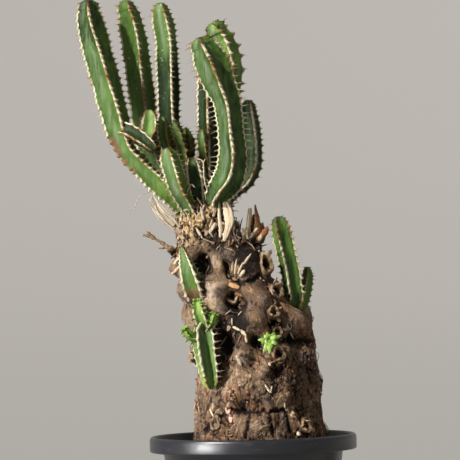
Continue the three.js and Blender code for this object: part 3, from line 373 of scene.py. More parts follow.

# Each stem: rows of x, y, height, crest radius, from the root to the tip; the ribs' turn in degrees at
# the root and at the tip; the length without spines at the root; its skin's freshness, from dark to
# yellow-green, its bloom and its white specks, at the root and at the tip. On stems that stand in shade
# the dark skin is painted shade: stem_dark_back, stem_short_dark, stem_right, the second limb of
# stem_far_left, and stem_middle below its shadow edge, a share of its length. Some have a dry scab on the
# left between two distances from the root, longer spines, deeper teeth or valleys or wider gaps between
# the teeth, browner or wider horn, a long corky root, or small leaves in place of spines.
STEMS = {
    "stem_far_left": [
        {"rows": [[-44, -3, 288, 6.5], [-51, -4, 298, 7.4], [-58.5, -6, 306, 8.4], [-68, -8, 316, 9],
                  [-78, -9, 327, 8.8], [-86, -9, 336, 8.2], [-91, -8, 348, 10.2], [-95, -7, 364, 10.9],
                  [-101, -5, 389, 10.9], [-107, -3, 413, 10.9], [-111, -2, 432, 10.6], [-112, -2, 441, 8],
                  [-112, -2, 446, 4]], "turn": (48, 0), "bare": 14, "scab": (46, 84),
         "horn": 1.3, "skin": ((0.7, 1, 0), (0.2, 0.9, 0.3))},
        # This limb's dark skin is painted shade.
        {"rows": [[-90, -9, 353, 5], [-84, -15, 351, 7], [-75, -19, 345, 6.5], [-67, -22, 338, 4]],
         "turn": (30, 30), "bare": 8, "skin": ((0.08, 0.4, 0), (0.1, 0.6, 0))},
        {"rows": [[-76, -17, 343, 4], [-71, -15.5, 351, 7.4], [-69.5, -14, 359, 7.2],
                  [-69.5, -13, 365, 3.4]],
         "turn": (42, 42), "bare": 3, "horn": 0.7, "skin": ((0.66, 0.8, 0), (0.62, 1.4, 0))},
    ],
    "stem_front": [
        {"rows": [[-26, -8, 289, 6.5], [-24, -15, 300, 8], [-19, -21, 308, 10.6], [-13, -25, 317, 11.6],
                  [-10, -26, 332, 10.9], [-11, -26, 348, 10.4], [-12, -26, 364, 10.2], [-14, -26, 373, 10.8],
                  [-17.5, -26, 382, 11.8], [-21, -26, 391, 12.4], [-25, -25, 401, 12.4],
                  [-28, -25, 408, 10.8], [-30.5, -24, 413, 7.4], [-31.5, -24, 416, 4]],
         "turn": (0, 0), "bare": 12, "spines": 2, "horn": 1.25, "skin": ((0.2, 0.6, 0), (0.32, 1.2, 0.1))},
    ],
    "stem_short_front": [
        {"rows": [[-39, -9, 288, 6], [-44, -15, 298, 6.5], [-49, -21, 308, 7.6], [-53, -25, 321, 8.3],
                  [-56, -26, 333, 7.2], [-57, -26, 337, 4]], "turn": (20, 20), "bare": 12,
         "skin": ((0.5, 2.3, 0), (0.54, 2.4, 0))},
    ],
    "stem_right": [
        # Its dark skin is painted shade.
        {"rows": [[-21, 0, 293, 5.4], [-16.5, 0, 300, 6.2], [-10, 1, 307, 6.8], [-1.5, 2, 314, 7.2],
                  [4, 2, 326, 7.6], [4.5, 3, 344, 7.6], [3, 3, 359, 7.4], [2, 3, 367, 5.6], [2, 3, 371, 3]],
         "turn": (22, 22), "bare": 10, "skin": ((0.02, 0.1, 0), (0.16, 0.24, 0))},
    ],
    "stem_short_dark": [
        # Its dark skin is painted shade.
        {"rows": [[-34, -4, 288, 5.5], [-36, -7, 298, 6.5], [-37, -10, 309, 7.8], [-38.5, -11, 322, 7.5],
                  [-39.5, -11, 330, 4.4]], "turn": (45, 45), "bare": 14, "spines": 1.6,
         "brown": -0.3, "skin": ((0.04, 0.1, 0.2), (0.14, 0.1, 0.2))},
    ],
    "stem_middle": [
        {"rows": [[-38, 3, 290, 6], [-43, 4, 299, 6.5], [-49, 5, 316, 7.2], [-54, 8, 338, 8],
                  [-56, 9, 363, 8.7], [-56, 9, 388, 9.1], [-57, 7, 417, 9.1], [-59, 6, 432, 8.6],
                  [-60, 6, 439, 6.4], [-60, 6, 443, 3.4]], "turn": (25, 25), "bare": 14,
         # Its dark lower skin is a painted shadow, which ends at its shadow edge.
         "shadow_edge": (0.66, 0.9), "skin": ((0.06, 0, 0.3), (0.54, 2, 1.6))},
        {"rows": [[-51, 5, 322, 3], [-56, -4, 336, 4.8], [-59, -7, 348, 5.2], [-60, -8, 356, 4.4],
                  [-60, -8, 360, 2.6]], "turn": (0, 30), "bare": 6, "tooth": 2.8, "brown": 0.3,
         "spines": 1.5, "skin": ((0.12, 0.3, 0), (0.5, 0.5, 0))},
        {"rows": [[-48, 5, 318, 3], [-46, -3, 333, 4.8], [-48, -6, 344, 5], [-50, -7, 352, 4.4],
                  [-51, -7, 356, 2.6]], "turn": (50, 20), "bare": 6, "tooth": 2.8, "brown": 0.35,
         "spines": 1.5, "skin": ((0.1, 0.3, 0), (0.4, 0.5, 0))},
        {"rows": [[-48, 6, 318, 3], [-42, 4, 331, 3.8], [-41, 3, 342, 4], [-43, 3, 349, 3.4],
                  [-44, 3, 352, 2.2]], "turn": (0, 0), "bare": 8, "tooth": 2.2, "brown": 0.5,
         "spines": 1.5, "skin": ((0.1, 0.3, 0), (0.4, 0.5, 0))},
    ],
    "stem_dark_back": [
        # Its dark skin is painted shade.
        {"rows": [[-27, 3, 290, 5.5], [-27, 4, 300, 6], [-27.5, 4, 318, 7], [-27.5, 3, 340, 8],
                  [-27.5, 3, 365, 8.2], [-27, 3, 386, 8], [-26, 3, 398, 6], [-26, 3, 403, 3.2]],
         "turn": (0, 0), "bare": 18, "skin": ((0.02, 0, 0.2), (0.05, 0, 0.2))},
        {"rows": [[-29, 0, 324, 3], [-31.5, -6, 335, 4.4], [-32, -8, 345, 4.2], [-32, -8, 350, 2.4]],
         "turn": (30, 30), "bare": 6, "tooth": 2.2, "brown": 0.4, "spines": 1.5,
         "skin": ((0.1, 0.3, 0), (0.4, 0.5, 0))},
    ],
    "stem_left_back": [
        {"rows": [[-42, 10, 290, 6], [-49, 14, 301, 6.5], [-60, 18, 316, 7.2], [-68, 20, 332, 8.7],
                  [-73, 20, 349, 9.4], [-75, 20, 371, 10.2], [-77, 18, 393, 10.2], [-80, 16, 417, 10.2],
                  [-83, 15, 434, 9.2], [-85, 15, 441, 7], [-85, 15, 446, 3.6]],
         "turn": (16, 16), "bare": 14, "skin": ((0.4, 0.1, 0.8), (0.46, 0.1, 1.4))},
    ],
    "stem_right_back": [
        {"rows": [[-20, 6, 288, 5.8], [-18, 12, 302, 7.2], [-15, 20, 319, 9.4], [-14, 24, 341, 10.2],
                  [-14, 25, 365, 10.7], [-13, 25, 383, 11.4], [-12.5, 25, 394, 11.9], [-14.5, 24, 407, 12.1],
                  [-17.5, 23, 418, 10.8], [-21, 21, 425, 7], [-23, 20, 428, 4]],
         "turn": (8, 24), "bare": 12, "tooth": 3, "gap": 1.5,
         "skin": ((0.2, 0.2, 0), (0.66, 2.6, 0.2))},
    ],
    "shoot_right": [
        {"rows": [[28, -9, 218, 6], [32, -11, 228, 7.2], [31, -13, 237, 7.8], [29, -14, 252, 8],
                  [25, -14, 270, 8.2], [23, -14, 280, 7.2], [22, -14, 286, 4]],
         "turn": (-25, -25), "bare": 12, "horn": 0.6, "skin": ((0.28, 0.3, 0), (0.28, 0.5, 0))},
    ],
    "shoot_right_small": [
        {"rows": [[33, -1, 212, 3.6], [37, -1, 221, 4.2], [40, -1, 232, 4.7], [42, -1, 243, 4.5],
                  [42, -1, 249, 2.6]],
         "turn": (-8, -8), "bare": 8, "brown": 0.2, "skin": ((0.5, 0.4, 0), (0.6, 0.6, 0))},
    ],
    "shoot_left_wedge": [
        {"rows": [[-38.5, -22, 231, 7], [-41, -28, 239, 9.4], [-43.5, -31, 248, 8.2], [-46, -30, 258, 5.4],
                  [-48, -28, 266, 2.6]], "turn": (30, 30), "bare": 4, "root": 24, "valley": 0.6,
         "brown": -0.1, "blunt": 0, "horn": 1.3, "skin": ((0.54, 0.4, 0), (0.34, 1.1, 0))},
    ],
    "shoot_hanging": [
        {"rows": [[-30, -26, 212, 5.5], [-34, -35, 208, 7.6], [-34, -38, 200, 8.8], [-33, -38, 189, 9],
                  [-31, -36.5, 176, 7.6], [-29.5, -36, 167, 4]],
         "turn": (30, 26), "bare": 6, "spines": 2, "valley": 0.22, "brown": -0.25, "bloomed": 1,
         "skin": ((0.36, 1.6, 0), (0.76, 0.3, 0))},
        {"rows": [[-33, -33, 207, 4.5], [-35, -37, 214, 6], [-37, -38, 221, 5.6], [-38, -38, 228, 2.8]],
         "turn": (32, 32), "bare": 4, "valley": 0.36, "leafy": True,
         "skin": ((0.6, 0.5, 0), (0.74, 0.5, 0))},
        {"rows": [[-37, -34, 200, 3], [-43, -37, 203, 3.6], [-47, -38, 208, 2.6]],
         "turn": (0, 0), "bare": 2, "tooth": 2, "leafy": True, "skin": ((0.6, 0.3, 0), (0.8, 0.3, 0))},
        {"rows": [[-32, -36, 207, 3], [-28, -39, 213, 3.6], [-26, -40, 218, 2.4]],
         "turn": (0, 0), "bare": 2, "tooth": 2, "leafy": True, "skin": ((0.6, 0.3, 0), (0.8, 0.3, 0))},
    ],
}

# The leafy rosette on the front: a plump bud with narrow pointed leaves round it.
ROSETTE = {"heart": (12.4, -45, 199), "outward": (0.2, -1, 0.15), "length": 9.4, "lengths": (0.55, 1.15)}

# The bud's rows, out from the heart with a half width. Its rings of leaves: count, size and lifts.
BUD_ROWS = [(-8, 2.6), (-3, 4), (0, 4), (2.4, 2.2)]
LEAF_RINGS = [(10, 1, (0.1, 0.4)), (7, 0.65, (0.7, 1))]

# A leaf's foot: its place along the leaf, half width and half thickness. Its rows past the foot: shares of
# its reach and of its lift, half width, half thickness.
LEAF_FOOT = (1.5, 1.4, 0.9)
LEAF_ROWS = [(0.45, 0.5, 1.7, 0.8), (0.78, 0.6, 1.1, 0.5), (1, 0.5, 0.1, 0.15)]

# Dry pieces: rows of x, y, height, half width, half thickness.
PAPERY_FLAKE = [
    [[-17.4, -17, 301, 1.2, 0.25], [-15.6, -21.5, 297, 2.6, 0.25], [-14.2, -25, 291, 3.7, 0.25],
     [-13.4, -28, 284.5, 3.4, 0.25], [-14.8, -30, 279.5, 2.4, 0.25], [-16.4, -31, 275, 2.1, 0.25],
     [-18, -31, 270.5, 0.9, 0.25]],
    [[-20.5, -18, 299, 0.7, 0.3], [-20.8, -22, 290, 1.1, 0.3], [-20, -25, 280, 1.4, 0.3],
     [-20.6, -27, 273, 0.7, 0.25]],
    [[-24, -17, 300, 1, 0.3], [-23.5, -20, 295, 1.6, 0.3], [-25, -22, 288, 0.9, 0.25]],
]
FLAKE_TONES = (0.98, 0.95, 0.7)
FLAKE_PLEATS = (2.5, 1, 0)
DEAD_TWIG = [
    [[-50, -4, 262, 2, 2], [-57, -5, 266, 1.7, 1.5], [-62, -5, 270, 1.3, 1.2], [-66, -5, 272.5, 1.1, 1.1],
     [-71, -5, 275.5, 1.3, 0.9], [-77, -5, 276.5, 0.8, 0.6]],
    [[-69, -5, 274.5, 0.8, 0.6], [-72, -6, 278, 0.7, 0.5], [-74, -6, 279, 0.3, 0.3]],
    [[-59, -5, 267.5, 0.8, 0.5], [-63, -7, 266.5, 0.6, 0.4], [-66, -7, 267, 0.3, 0.3]],
]

# Tufts of husks: root, aim, count and length.
TWIG_TUFT = ((-53, -8, 264), (-0.7, -0.5, 0.2), 22, 7)
CLUSTER_TUFTS = [((1, -11, 266), (0.1, -0.5, 0.8), 26, 9), ((6, -8, 267), (0.7, -0.4, 0.6), 22, 9),
                 ((-8, -20, 268), (0.1, -0.8, 0.5), 16, 9)]
TUFT = {"spread": 1.7, "foot": 5, "length": (0.4, 1.1), "width": (0.3, 1.5)}

# The fibre strip is a band of thin fibres round one path; a single fibre loops away from it.
FIBRE_PATH = [[-45, -8, 276, 0.8], [-51, -9, 280, 2.2], [-56.5, -9, 285, 3.2], [-62, -9, 291, 3.4],
              [-66.5, -8, 298, 3], [-69.5, -7, 305, 2.4]]
FIBRE_COUNT = 12
FIBRE_HALF_WIDTHS = (0.35, 0.7, 0.5)
FIBRE_END = 0.25
FIBRE_HALF_THICKNESS = 0.22
FIBRE_STRAY = 1.4
FIBRE_WAVE = {"reach": 0.25, "along": 1.3, "apart": 5}
FIBRE_ACROSS = (0.66, 0.75)
FIBRE_LOOP = [[-69, -7, 308, 0.3, 0.25], [-75, -8, 306.5, 0.28, 0.25], [-79.5, -8, 302.6, 0.28, 0.25],
              [-80.6, -8, 299, 0.28, 0.25], [-82.4, -8, 296.2, 0.26, 0.22], [-86, -8, 294.8, 0.2, 0.2]]

# The dry cluster: rows, then how pale and how orange.
DRY_CLUSTER = [
    ([[1, -8, 262, 4, 4], [1, -9, 268, 4.2, 4], [2, -9, 272, 3, 3]], 0.05, 0.6),
    ([[0, -9, 270, 1.2, 0.6], [-0.3, -11, 278, 1.6, 0.5], [0.8, -11, 286, 1.8, 0.5],
      [1.6, -10, 294.5, 1.2, 0.4]], 1, 0.6),
    ([[7, -8, 270, 2.4, 0.6], [7, -10, 278, 3.4, 0.5], [6.4, -10, 286, 2, 0.5],
      [5.2, -9, 297, 0.5, 0.3]], 0.55, 0.85),
    ([[-2, -10, 270, 1, 0.5], [-3.4, -14, 275, 1.3, 0.5], [-4.2, -14, 280.5, 0.8, 0.4]], 0.85, 0.3),
    ([[0, -12, 271, 1.2, 0.5], [3, -14, 275, 1.6, 0.5], [7, -14, 280, 1.2, 0.4]], 0.8, 0.45),
    ([[4, -11, 270, 1.6, 0.5], [8, -13, 272.5, 2.6, 0.5], [12.5, -13, 277.5, 2.2, 0.4],
      [14, -12, 281, 0.8, 0.3]], 0.5, 1),
    ([[5, -13, 269, 1.2, 0.4], [8, -15, 272, 1.8, 0.4], [10, -15, 275, 1, 0.4]], 0.9, 0.6),
    ([[3, -7, 271, 1.4, 0.5], [3.4, -8, 280, 1.8, 0.4], [4, -7, 290, 0.6, 0.3]], 0.3, 0.7),
    ([[9, -6, 268, 1.6, 0.5], [11, -7, 275, 1.6, 0.4], [10.4, -6, 284, 0.5, 0.3]], 0.6, 0.9),
]
CROWN_STALKS = [
    [[-28.5, -19, 306, 0.5, 0.5], [-31, -23, 316, 0.55, 0.5], [-31.6, -25, 328, 0.5, 0.45],
     [-36.4, -25, 330.6, 0.4, 0.4]],
    [[-31.6, -25, 327, 0.4, 0.4], [-29.8, -26, 330.4, 0.35, 0.3]],
    [[-44, -20, 306, 0.5, 0.4], [-40.5, -24, 312, 0.45, 0.4], [-37.5, -25, 309.5, 0.3, 0.3]],
]


# Small sums

def lerp(low, high, share):
    return low + (high - low) * share


def pick(draw, low, high, power=1):
    """A random value in a range, nearer its low end the higher the power."""
    return lerp(low, high, draw.random() ** power)


def stray_by(draw):
    return Vector((draw.random() - 0.5, draw.random() - 0.5, draw.random() - 0.5))


def round_axis(radius, angle, height):
    return Vector((radius * math.cos(angle), radius * math.sin(angle), height))


def clamp(value, low=0.0, high=1.0):
    return min(max(value, low), high)


def smoothstep(value, low, high):
    share = clamp((value - low) / (high - low))
    return share * share * (3 - 2 * share)


def hermite(low, high, slope_low, slope_high, share):
    rest = (1 - share) ** 2 * ((1 + 2 * share) * low + share * slope_low)
    return rest + share ** 2 * ((3 - 2 * share) * high + (share - 1) * slope_high)


def smooth_through(rows, t, column):
    """A column's value at t rows from the first one, smooth through every row."""
    step = min(int(t), len(rows) - 2)
    low, high = rows[step][column], rows[step + 1][column]
    before = rows[step - 1][column] if step > 0 else 2 * low - high
    after = rows[step + 2][column] if step + 2 < len(rows) else 2 * high - low
    return hermite(low, high, (high - before) / 2, (after - low) / 2, t - step)


class Spot(namedtuple("Spot", "place along front side t")):
    """A place on a limb's centreline, its directions there, and how many rows it is from the root."""

    def spoke(self, angle):
        return self.front * math.cos(angle) + self.side * math.sin(angle)


class Limb:
    """A limb's centreline through rows of x, y, height and more, with a frame that keeps its facing."""

    SAMPLES = 12

    def __init__(self, rows, facing=FRONT):
        self.rows = rows
        self.facing = facing
        self.last = len(rows) - 1
        count = self.SAMPLES * self.last
        self.marks = [self.last * step / count for step in range(count + 1)]
        places = [self.place(t) for t in self.marks]
        self.reach = [0.0]
        for before, after in zip(places, places[1:]):
            self.reach.append(self.reach[-1] + (after - before).length)
        self.length = self.reach[-1]
        self.rows_start = places[0]
        self.rows_run = places[-1] - places[0]

    def place(self, t):
        return Vector([smooth_through(self.rows, t, column) for column in range(3)])

    def at(self, distance):
        inside = clamp(distance, 0, self.length)
        spot = min(bisect_right(self.reach, inside), len(self.reach) - 1)
        share = (inside - self.reach[spot - 1]) / (self.reach[spot] - self.reach[spot - 1])
        t = lerp(self.marks[spot - 1], self.marks[spot], share)
        along = (self.place(min(t + 0.02, self.last)) - self.place(max(t - 0.02, 0))).normalized()
        front = (self.facing - along * self.facing.dot(along)).normalized()
        return Spot(self.place(t) + along * (distance - inside), along, front, along.cross(front), t)

    def value(self, spot, column):
        return smooth_through(self.rows, spot.t, column)


# Meshes

def new_piece():
    """An empty mesh with a layer for what its material reads at each point."""
    bm = bmesh.new()
    bm.loops.layers.uv.new("UVMap")
    return bm, bm.verts.layers.float_color.new("marks")


def tube(bm, marks, rings):
    """A grid wrapped round rings of (place, marks), its seam and its two end poles welded."""
    around = len(rings[0])
    along = len(rings) - 1
    grid = bmesh.ops.create_grid(bm, x_segments=around, y_segments=along, size=1, calc_uvs=True)
    rim = []
    for vert in grid["verts"]:
        turn = round((vert.co.x + 1) / 2 * around)
        step = round((vert.co.y + 1) / 2 * along)
        place, colour = rings[step][turn % around]
        vert.co = place
        vert[marks] = colour
        if turn in (0, around) or step in (0, along):
            rim.append(vert)
    bmesh.ops.remove_doubles(bm, verts=rim, dist=1e-4)
    return [vert for vert in grid["verts"] if vert.is_valid]


def turn_section(bm, section, steps, weld=1e-4):
    """Turns a section of (radius, height) all round, and welds its seam and its ends."""
    verts = [bm.verts.new((radius, 0, height)) for radius, height in section]
    edges = [bm.edges.new(pair) for pair in zip(verts, verts[1:])]
    bmesh.ops.spin(bm, geom=verts + edges, cent=(0, 0, 0), axis=(0, 0, 1), angle=FULL_TURN, steps=steps,
                   use_merge=True)
    bmesh.ops.remove_doubles(bm, verts=bm.verts, dist=weld)


def to_metres(bm):
    bmesh.ops.scale(bm, vec=(MM, MM, MM), verts=bm.verts)


def add_object(name, data):
    made = bpy.data.objects.new(name, data)
    bpy.context.scene.collection.objects.link(made)
    return made


def add_mesh(name, bm):
    mesh = bpy.data.meshes.new(name)
    bm.to_mesh(mesh)
    bm.free()
    return add_object(name, mesh)


def finish_piece(name, bm, material, slot, *nodes):
    """Turns a mesh in millimetres into a finished piece in metres that rides on the plant."""
    to_metres(bm)
    bmesh.ops.recalc_face_normals(bm, faces=bm.faces)
    for face in bm.faces:
        face.smooth = True
    piece = add_mesh(name, bm)
    piece.data.materials.append(material)
    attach(piece, "root")
    if nodes:
        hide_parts(*nodes)
    return piece


def blade(bm, marks, limb, tone, warmth, curl=0.0, step=1.6, ragged=0.0, draw=None, pleats=0):
    """A thin pointed blade, strip or stick along a limb, whose rows end in half width, half thickness."""
    steps = max(4, round(limb.length / step))
    inner = [(across, BLADE_SHOULDER) for across in (SHEET_ACROSS if pleats else BLADE_ACROSS)]
    section = [(1, 0), *inner, (-1, 0), *((-across, -out) for across, out in inner)]
    rings = []
    for ring in range(steps + 1):
        spot = limb.at(limb.length * ring / steps)
        end = ring in (0, steps)
        width = 0 if end else limb.value(spot, 3)
        thick = 0 if end else limb.value(spot, 4)
        if ragged and not end:
            width *= 1 + ragged * (draw.random() - 0.5)
        points = []
        for across, out in section:
            pleat = math.sin(pleats * math.pi * across)
            bend = curl * width * across * across - PLEAT_DEPTH * width * pleat
            place = spot.place + spot.side * (width * across) + spot.front * (thick * out - bend)
            points.append((place, (clamp(tone + PLEAT_TONE * pleat), warmth, 0, 1)))
        rings.append(points)
    tube(bm, marks, rings)


# The trunk's shape

def profile_at(height):
    """The trunk's centre x and half width at a height, smooth through the rows."""
    row = 0
    while row < len(TRUNK) - 2 and TRUNK[row + 1][2] < height:
        row += 1
    before = TRUNK[max(row - 1, 0)]
    low = TRUNK[row]
    high = TRUNK[row + 1]
    after = TRUNK[min(row + 2, len(TRUNK) - 1)]
    step = high[2] - low[2]
    share = clamp((height - low[2]) / step)
    found = []
    for axis in (0, 1):
        slope_low = (high[axis] - before[axis]) / (high[2] - before[2]) * step
        slope_high = (after[axis] - low[axis]) / (after[2] - low[2]) * step
        found.append(hermite(low[axis], high[axis], slope_low, slope_high, share))
    return found


def front_angle(x, height):
    """The angle from the front at which a place on the bark shows at x."""
    centre, half_width = profile_at(height)
    return math.asin(clamp((x - centre) / (half_width + FRONT_REACH), -1, 1))


def back_knobs():
    """Knobs in staggered rows round the sides and the back: angle, height, radius, rise."""
    state = KNOB_DRAW["seed"]

    def draw():
        nonlocal state
        state = state * KNOB_DRAW["factor"] % KNOB_DRAW["modulus"]
        return state / KNOB_DRAW["modulus"]

    knobs = []
    row = 0
    height = BACK_LOW
    while height < BACK_HIGH:
        half_width = profile_at(height)[1]
        arc = 2 * (math.pi - BACK_START_ANGLE)
        count = max(3, math.floor(arc * half_width / BACK_ARC_STEP + 0.5))
        share = smoothstep(height, BACK_KNOB["low_height"], BACK_KNOB["high_height"])
        rise = lerp(BACK_KNOB["low_rise"], BACK_KNOB["high_rise"], share)
        for place in range(count):
            turn = place + BACK_ROW_SHIFTS[row % 2] + BACK_SCATTER["arc"] * (draw() - 0.5)
            size = (1 + BACK_SCATTER["size"] * (draw() - 0.5)) * min(1, half_width / BACK_FULL_WIDTH)
            middle = height + BACK_SCATTER["height"] * (draw() - 0.5)
            angle = BACK_START_ANGLE + arc * turn / count
            knobs.append((angle, middle, BACK_KNOB["radius"] * size, rise * size))
        row += 1
        height += BACK_ROW_STEP
    return knobs


BACK_KNOBS = back_knobs()
RELIEF = [(front_angle(x, z), z, radius, rise * FRONT_GAIN) for x, z, radius, rise in FRONT_KNOBS]
RELIEF += [(front_angle(x, z), z, radius, -depth * HOLLOW_GAIN) for x, z, radius, depth in FRONT_HOLLOWS]
RELIEF += BACK_KNOBS


def knob_relief(angle, height, half_width, near):
    """How far the knobs and hollows near a place stand out."""
    relief = 0
    for knob_angle, knob_height, radius, rise in near:
        turn = (angle - knob_angle + math.pi) % FULL_TURN - math.pi
        reach = math.hypot(turn * half_width, height - knob_height) / (radius * KNOB_REACH)
        if reach < 1:
            relief += rise * (1 - reach * reach) ** 2
    return relief * lerp(LOW_RELIEF, 1, smoothstep(height, *LOW_RELIEF_BAND))


def crack_ridges(angle, height):
    fade = 1 - smoothstep(height, CRACK["fade_from"], CRACK["fade_to"])
    sway = CRACK["sway"] * math.sin(height / CRACK["sway_length"])
    return CRACK["rise"] * fade * math.sin(CRACK["ridges"] * angle + sway * math.pi)


def knobs_near(height):
    return [knob for knob in RELIEF if abs(knob[1] - height) < knob[2] * KNOB_REACH]


def crack_depth(x, height):
    """How deep the named cracks cut at a place on the front."""
    depth = 0
    for x1, z1, x2, z2, deep, half_width in FRONT_CRACKS:
        run_x, run_z = x2 - x1, z2 - z1
        share = clamp(((x - x1) * run_x + (height - z1) * run_z) / (run_x ** 2 + run_z ** 2))
        gap = math.hypot(x - x1 - share * run_x, height - z1 - share * run_z) / half_width
        if gap < CRACK_REACH:
            depth = max(depth, deep * math.exp(-gap * gap))
    return depth


def bent(sway, pattern):
    """A place in a bark pattern's own scale."""
    across, along = BARK_SCALES[pattern]
    return Vector((sway.x * across, sway.y * across, sway.z * along))


def fine_bark(place, height, relief, on_front):
    """Cracks, plates, fibres and swells of the bark: how far they stand out, how pale, with painted shade
    darkening its hollows, and how rough.
    """
    sway = place.copy()
    for scale, reach in BARK_SWAYS:
        sway += noise.noise_vector(place * scale) * reach
    hollow = smoothstep(-relief, *HOLLOW_DEPTHS)
    low, high = SMOOTH_BANDS
    smooth = smoothstep(height, *low) * (1 - smoothstep(height, *high)) * (1 - hollow)
    rough = lerp(1, SMOOTH_ROUGH, smooth)
    crack = 1 - smoothstep(abs(noise.noise(bent(sway, "winding"))), 0, CRACK_LINE)
    near, _ = noise.voronoi(bent(sway, "plates"))
    plate = smoothstep(near[1] - near[0], *PLATE_EDGE) - 1
    fibres = noise.fractal(bent(sway, "fibres"), *FIBRE_NOISE)
    swell = noise.noise(place * SWELL_SCALE)
    grit = noise.fractal(place * GRIT_SCALE, *GRIT_NOISE)
    torn = smoothstep(height, *TORN_BAND)
    lumps = noise.fractal(bent(sway, "lumps"), *LUMP_NOISE)

    out = RISES
    rise = rough * (out["plate"] * plate + out["fibres"] * fibres - out["crack"] * crack)
    rise = rise + out["swell"] * swell + (out["grit"] + out["hollow_grit"] * hollow) * grit
    rise += out["torn"] * torn * lumps
    tone = PALES
    pale = tone["all"] + rough * (tone["plate"] * plate + tone["fibres"] * fibres - tone["crack"] * crack)
    pale += tone["swell"] * swell
    pale += tone["torn"] * torn * lumps
    # Painted shade, with some dark stain, darkens the hollows; knobs that stand out are paler.
    pale += (tone["relief"] * max(relief, 0) + tone["grit"] * grit - tone["hollow"] * hollow
             + tone["cloud"] * noise.noise(place * CLOUD_SCALE + CLOUD_SHIFT))
    if on_front:
        sag = noise.noise(place * CUT_SWAY["scale"]) * CUT_SWAY["reach"]
        cut = crack_depth(place.x, height + sag)
        rise -= cut
        pale -= tone["cut"] * cut
        # The front patches: real paler and darker bark, painted light on the columns, and painted shade on
        # the knob, in the hollows and beneath the flakes.
        for x, z, radius, shift in FRONT_TONES_AND_SHADE:
            reach = math.hypot(place.x - x, height - z) / radius
            pale += shift * max(0, 1 - reach * reach)
    return rise, pale, rough


def bark_spot(angle, height, half_width, near):
    """The bark at one place: how far it stands out in all, and its marks: pale, red, straw and rough."""
    centre = profile_at(height)[0]
    relief = knob_relief(angle, height, half_width, near)
    rise = smoothstep(height, *RELIEF_FADE) * (relief + RIDGE_SHARE * crack_ridges(angle, height))
    place = trunk_place(angle, height, centre, half_width + rise)
    fine, pale, rough = fine_bark(place, height, relief, math.cos(angle) > FRONT_EDGE)
    low = 1 - smoothstep(height, *RED_BAND)
    red = REDS["all"] + REDS["cloud"] * noise.noise(place * RED_SCALE + RED_SHIFT)
    red += REDS["right"] * max(0, math.sin(angle))
    red += REDS["low"] * low
    sag = STRAW_SWAY["reach"] * noise.noise(place * STRAW_SWAY["scale"])
    straw = smoothstep(height + sag, *STRAW_BAND)
    fade = min(1, (TRUNK[-1][2] - height) / TOP_FADE)
    return rise + fine * fade, (clamp(pale), clamp(red), straw, rough)


def trunk_place(angle, height, centre, radius):
    return Vector((centre + radius * math.sin(angle), -TRUNK_DEPTH * radius * math.cos(angle), height))


def bark_place(angle, height):
    """A point of the finished bark at an angle from the front, positive to the right."""
    centre, half_width = profile_at(height)
    rise, _ = bark_spot(angle, height, half_width, knobs_near(height))
    return trunk_place(angle, height, centre, half_width + rise)


def bark_normal(angle, height):
    """The direction out of the trunk, square to its main form."""
    centre, half_width = profile_at(height)
    higher = profile_at(height + NORMAL_STEP)
    lean = Vector((higher[0] - centre, 0, NORMAL_STEP)) + trunk_place(angle, 0, 0, higher[1] - half_width)
    across = Vector((math.cos(angle), TRUNK_DEPTH * math.sin(angle), 0))
    return across.cross(lean).normalized()


def trunk_skin(bm, marks):
    around = TRUNK_AROUND
    steps = TRUNK_STEPS
    top = TRUNK[-1][2]
    rings = []
    for step in range(steps + 1):
        height = lerp(TRUNK_LOW, top, step / steps)
        centre, half_width = profile_at(height)
        near = knobs_near(height)
        points = []
        for turn in range(around):
            angle = FULL_TURN * turn / around
            rise, colour = bark_spot(angle, height, half_width, near)
            points.append((trunk_place(angle, height, centre, half_width + rise), colour))
        rings.append(points)
    middle = Vector((profile_at(TRUNK_LOW)[0], 0, TRUNK_LOW))
    rings.insert(0, [(middle, rings[0][0][1])] * around)
    rings.append([(Vector((TRUNK[-1][0], 0, top)), rings[-1][0][1])] * around)
    tube(bm, marks, rings)


def husk(bm, marks, root, run, out, length, width, lift, tone, warmth, draw):
    """A curled dry chip that starts sunk in at its root and lifts off at its free end."""
    rows = []
    for share, wide in HUSK_SHAPE:
        place = root + run * (length * (share - HUSK_SUNK)) + out * (lift * length * share ** HUSK_CURVE)
        rows.append([*place, width * wide * pick(draw, *HUSK_WIDTHS), HUSK_HALF_THICKNESS])
    facing = (out - run * lift).normalized()
    curl = HUSK_CURL * draw.random()
    blade(bm, marks, Limb(rows, facing), tone, warmth, curl=curl, ragged=HUSK_RAGGED, draw=draw)


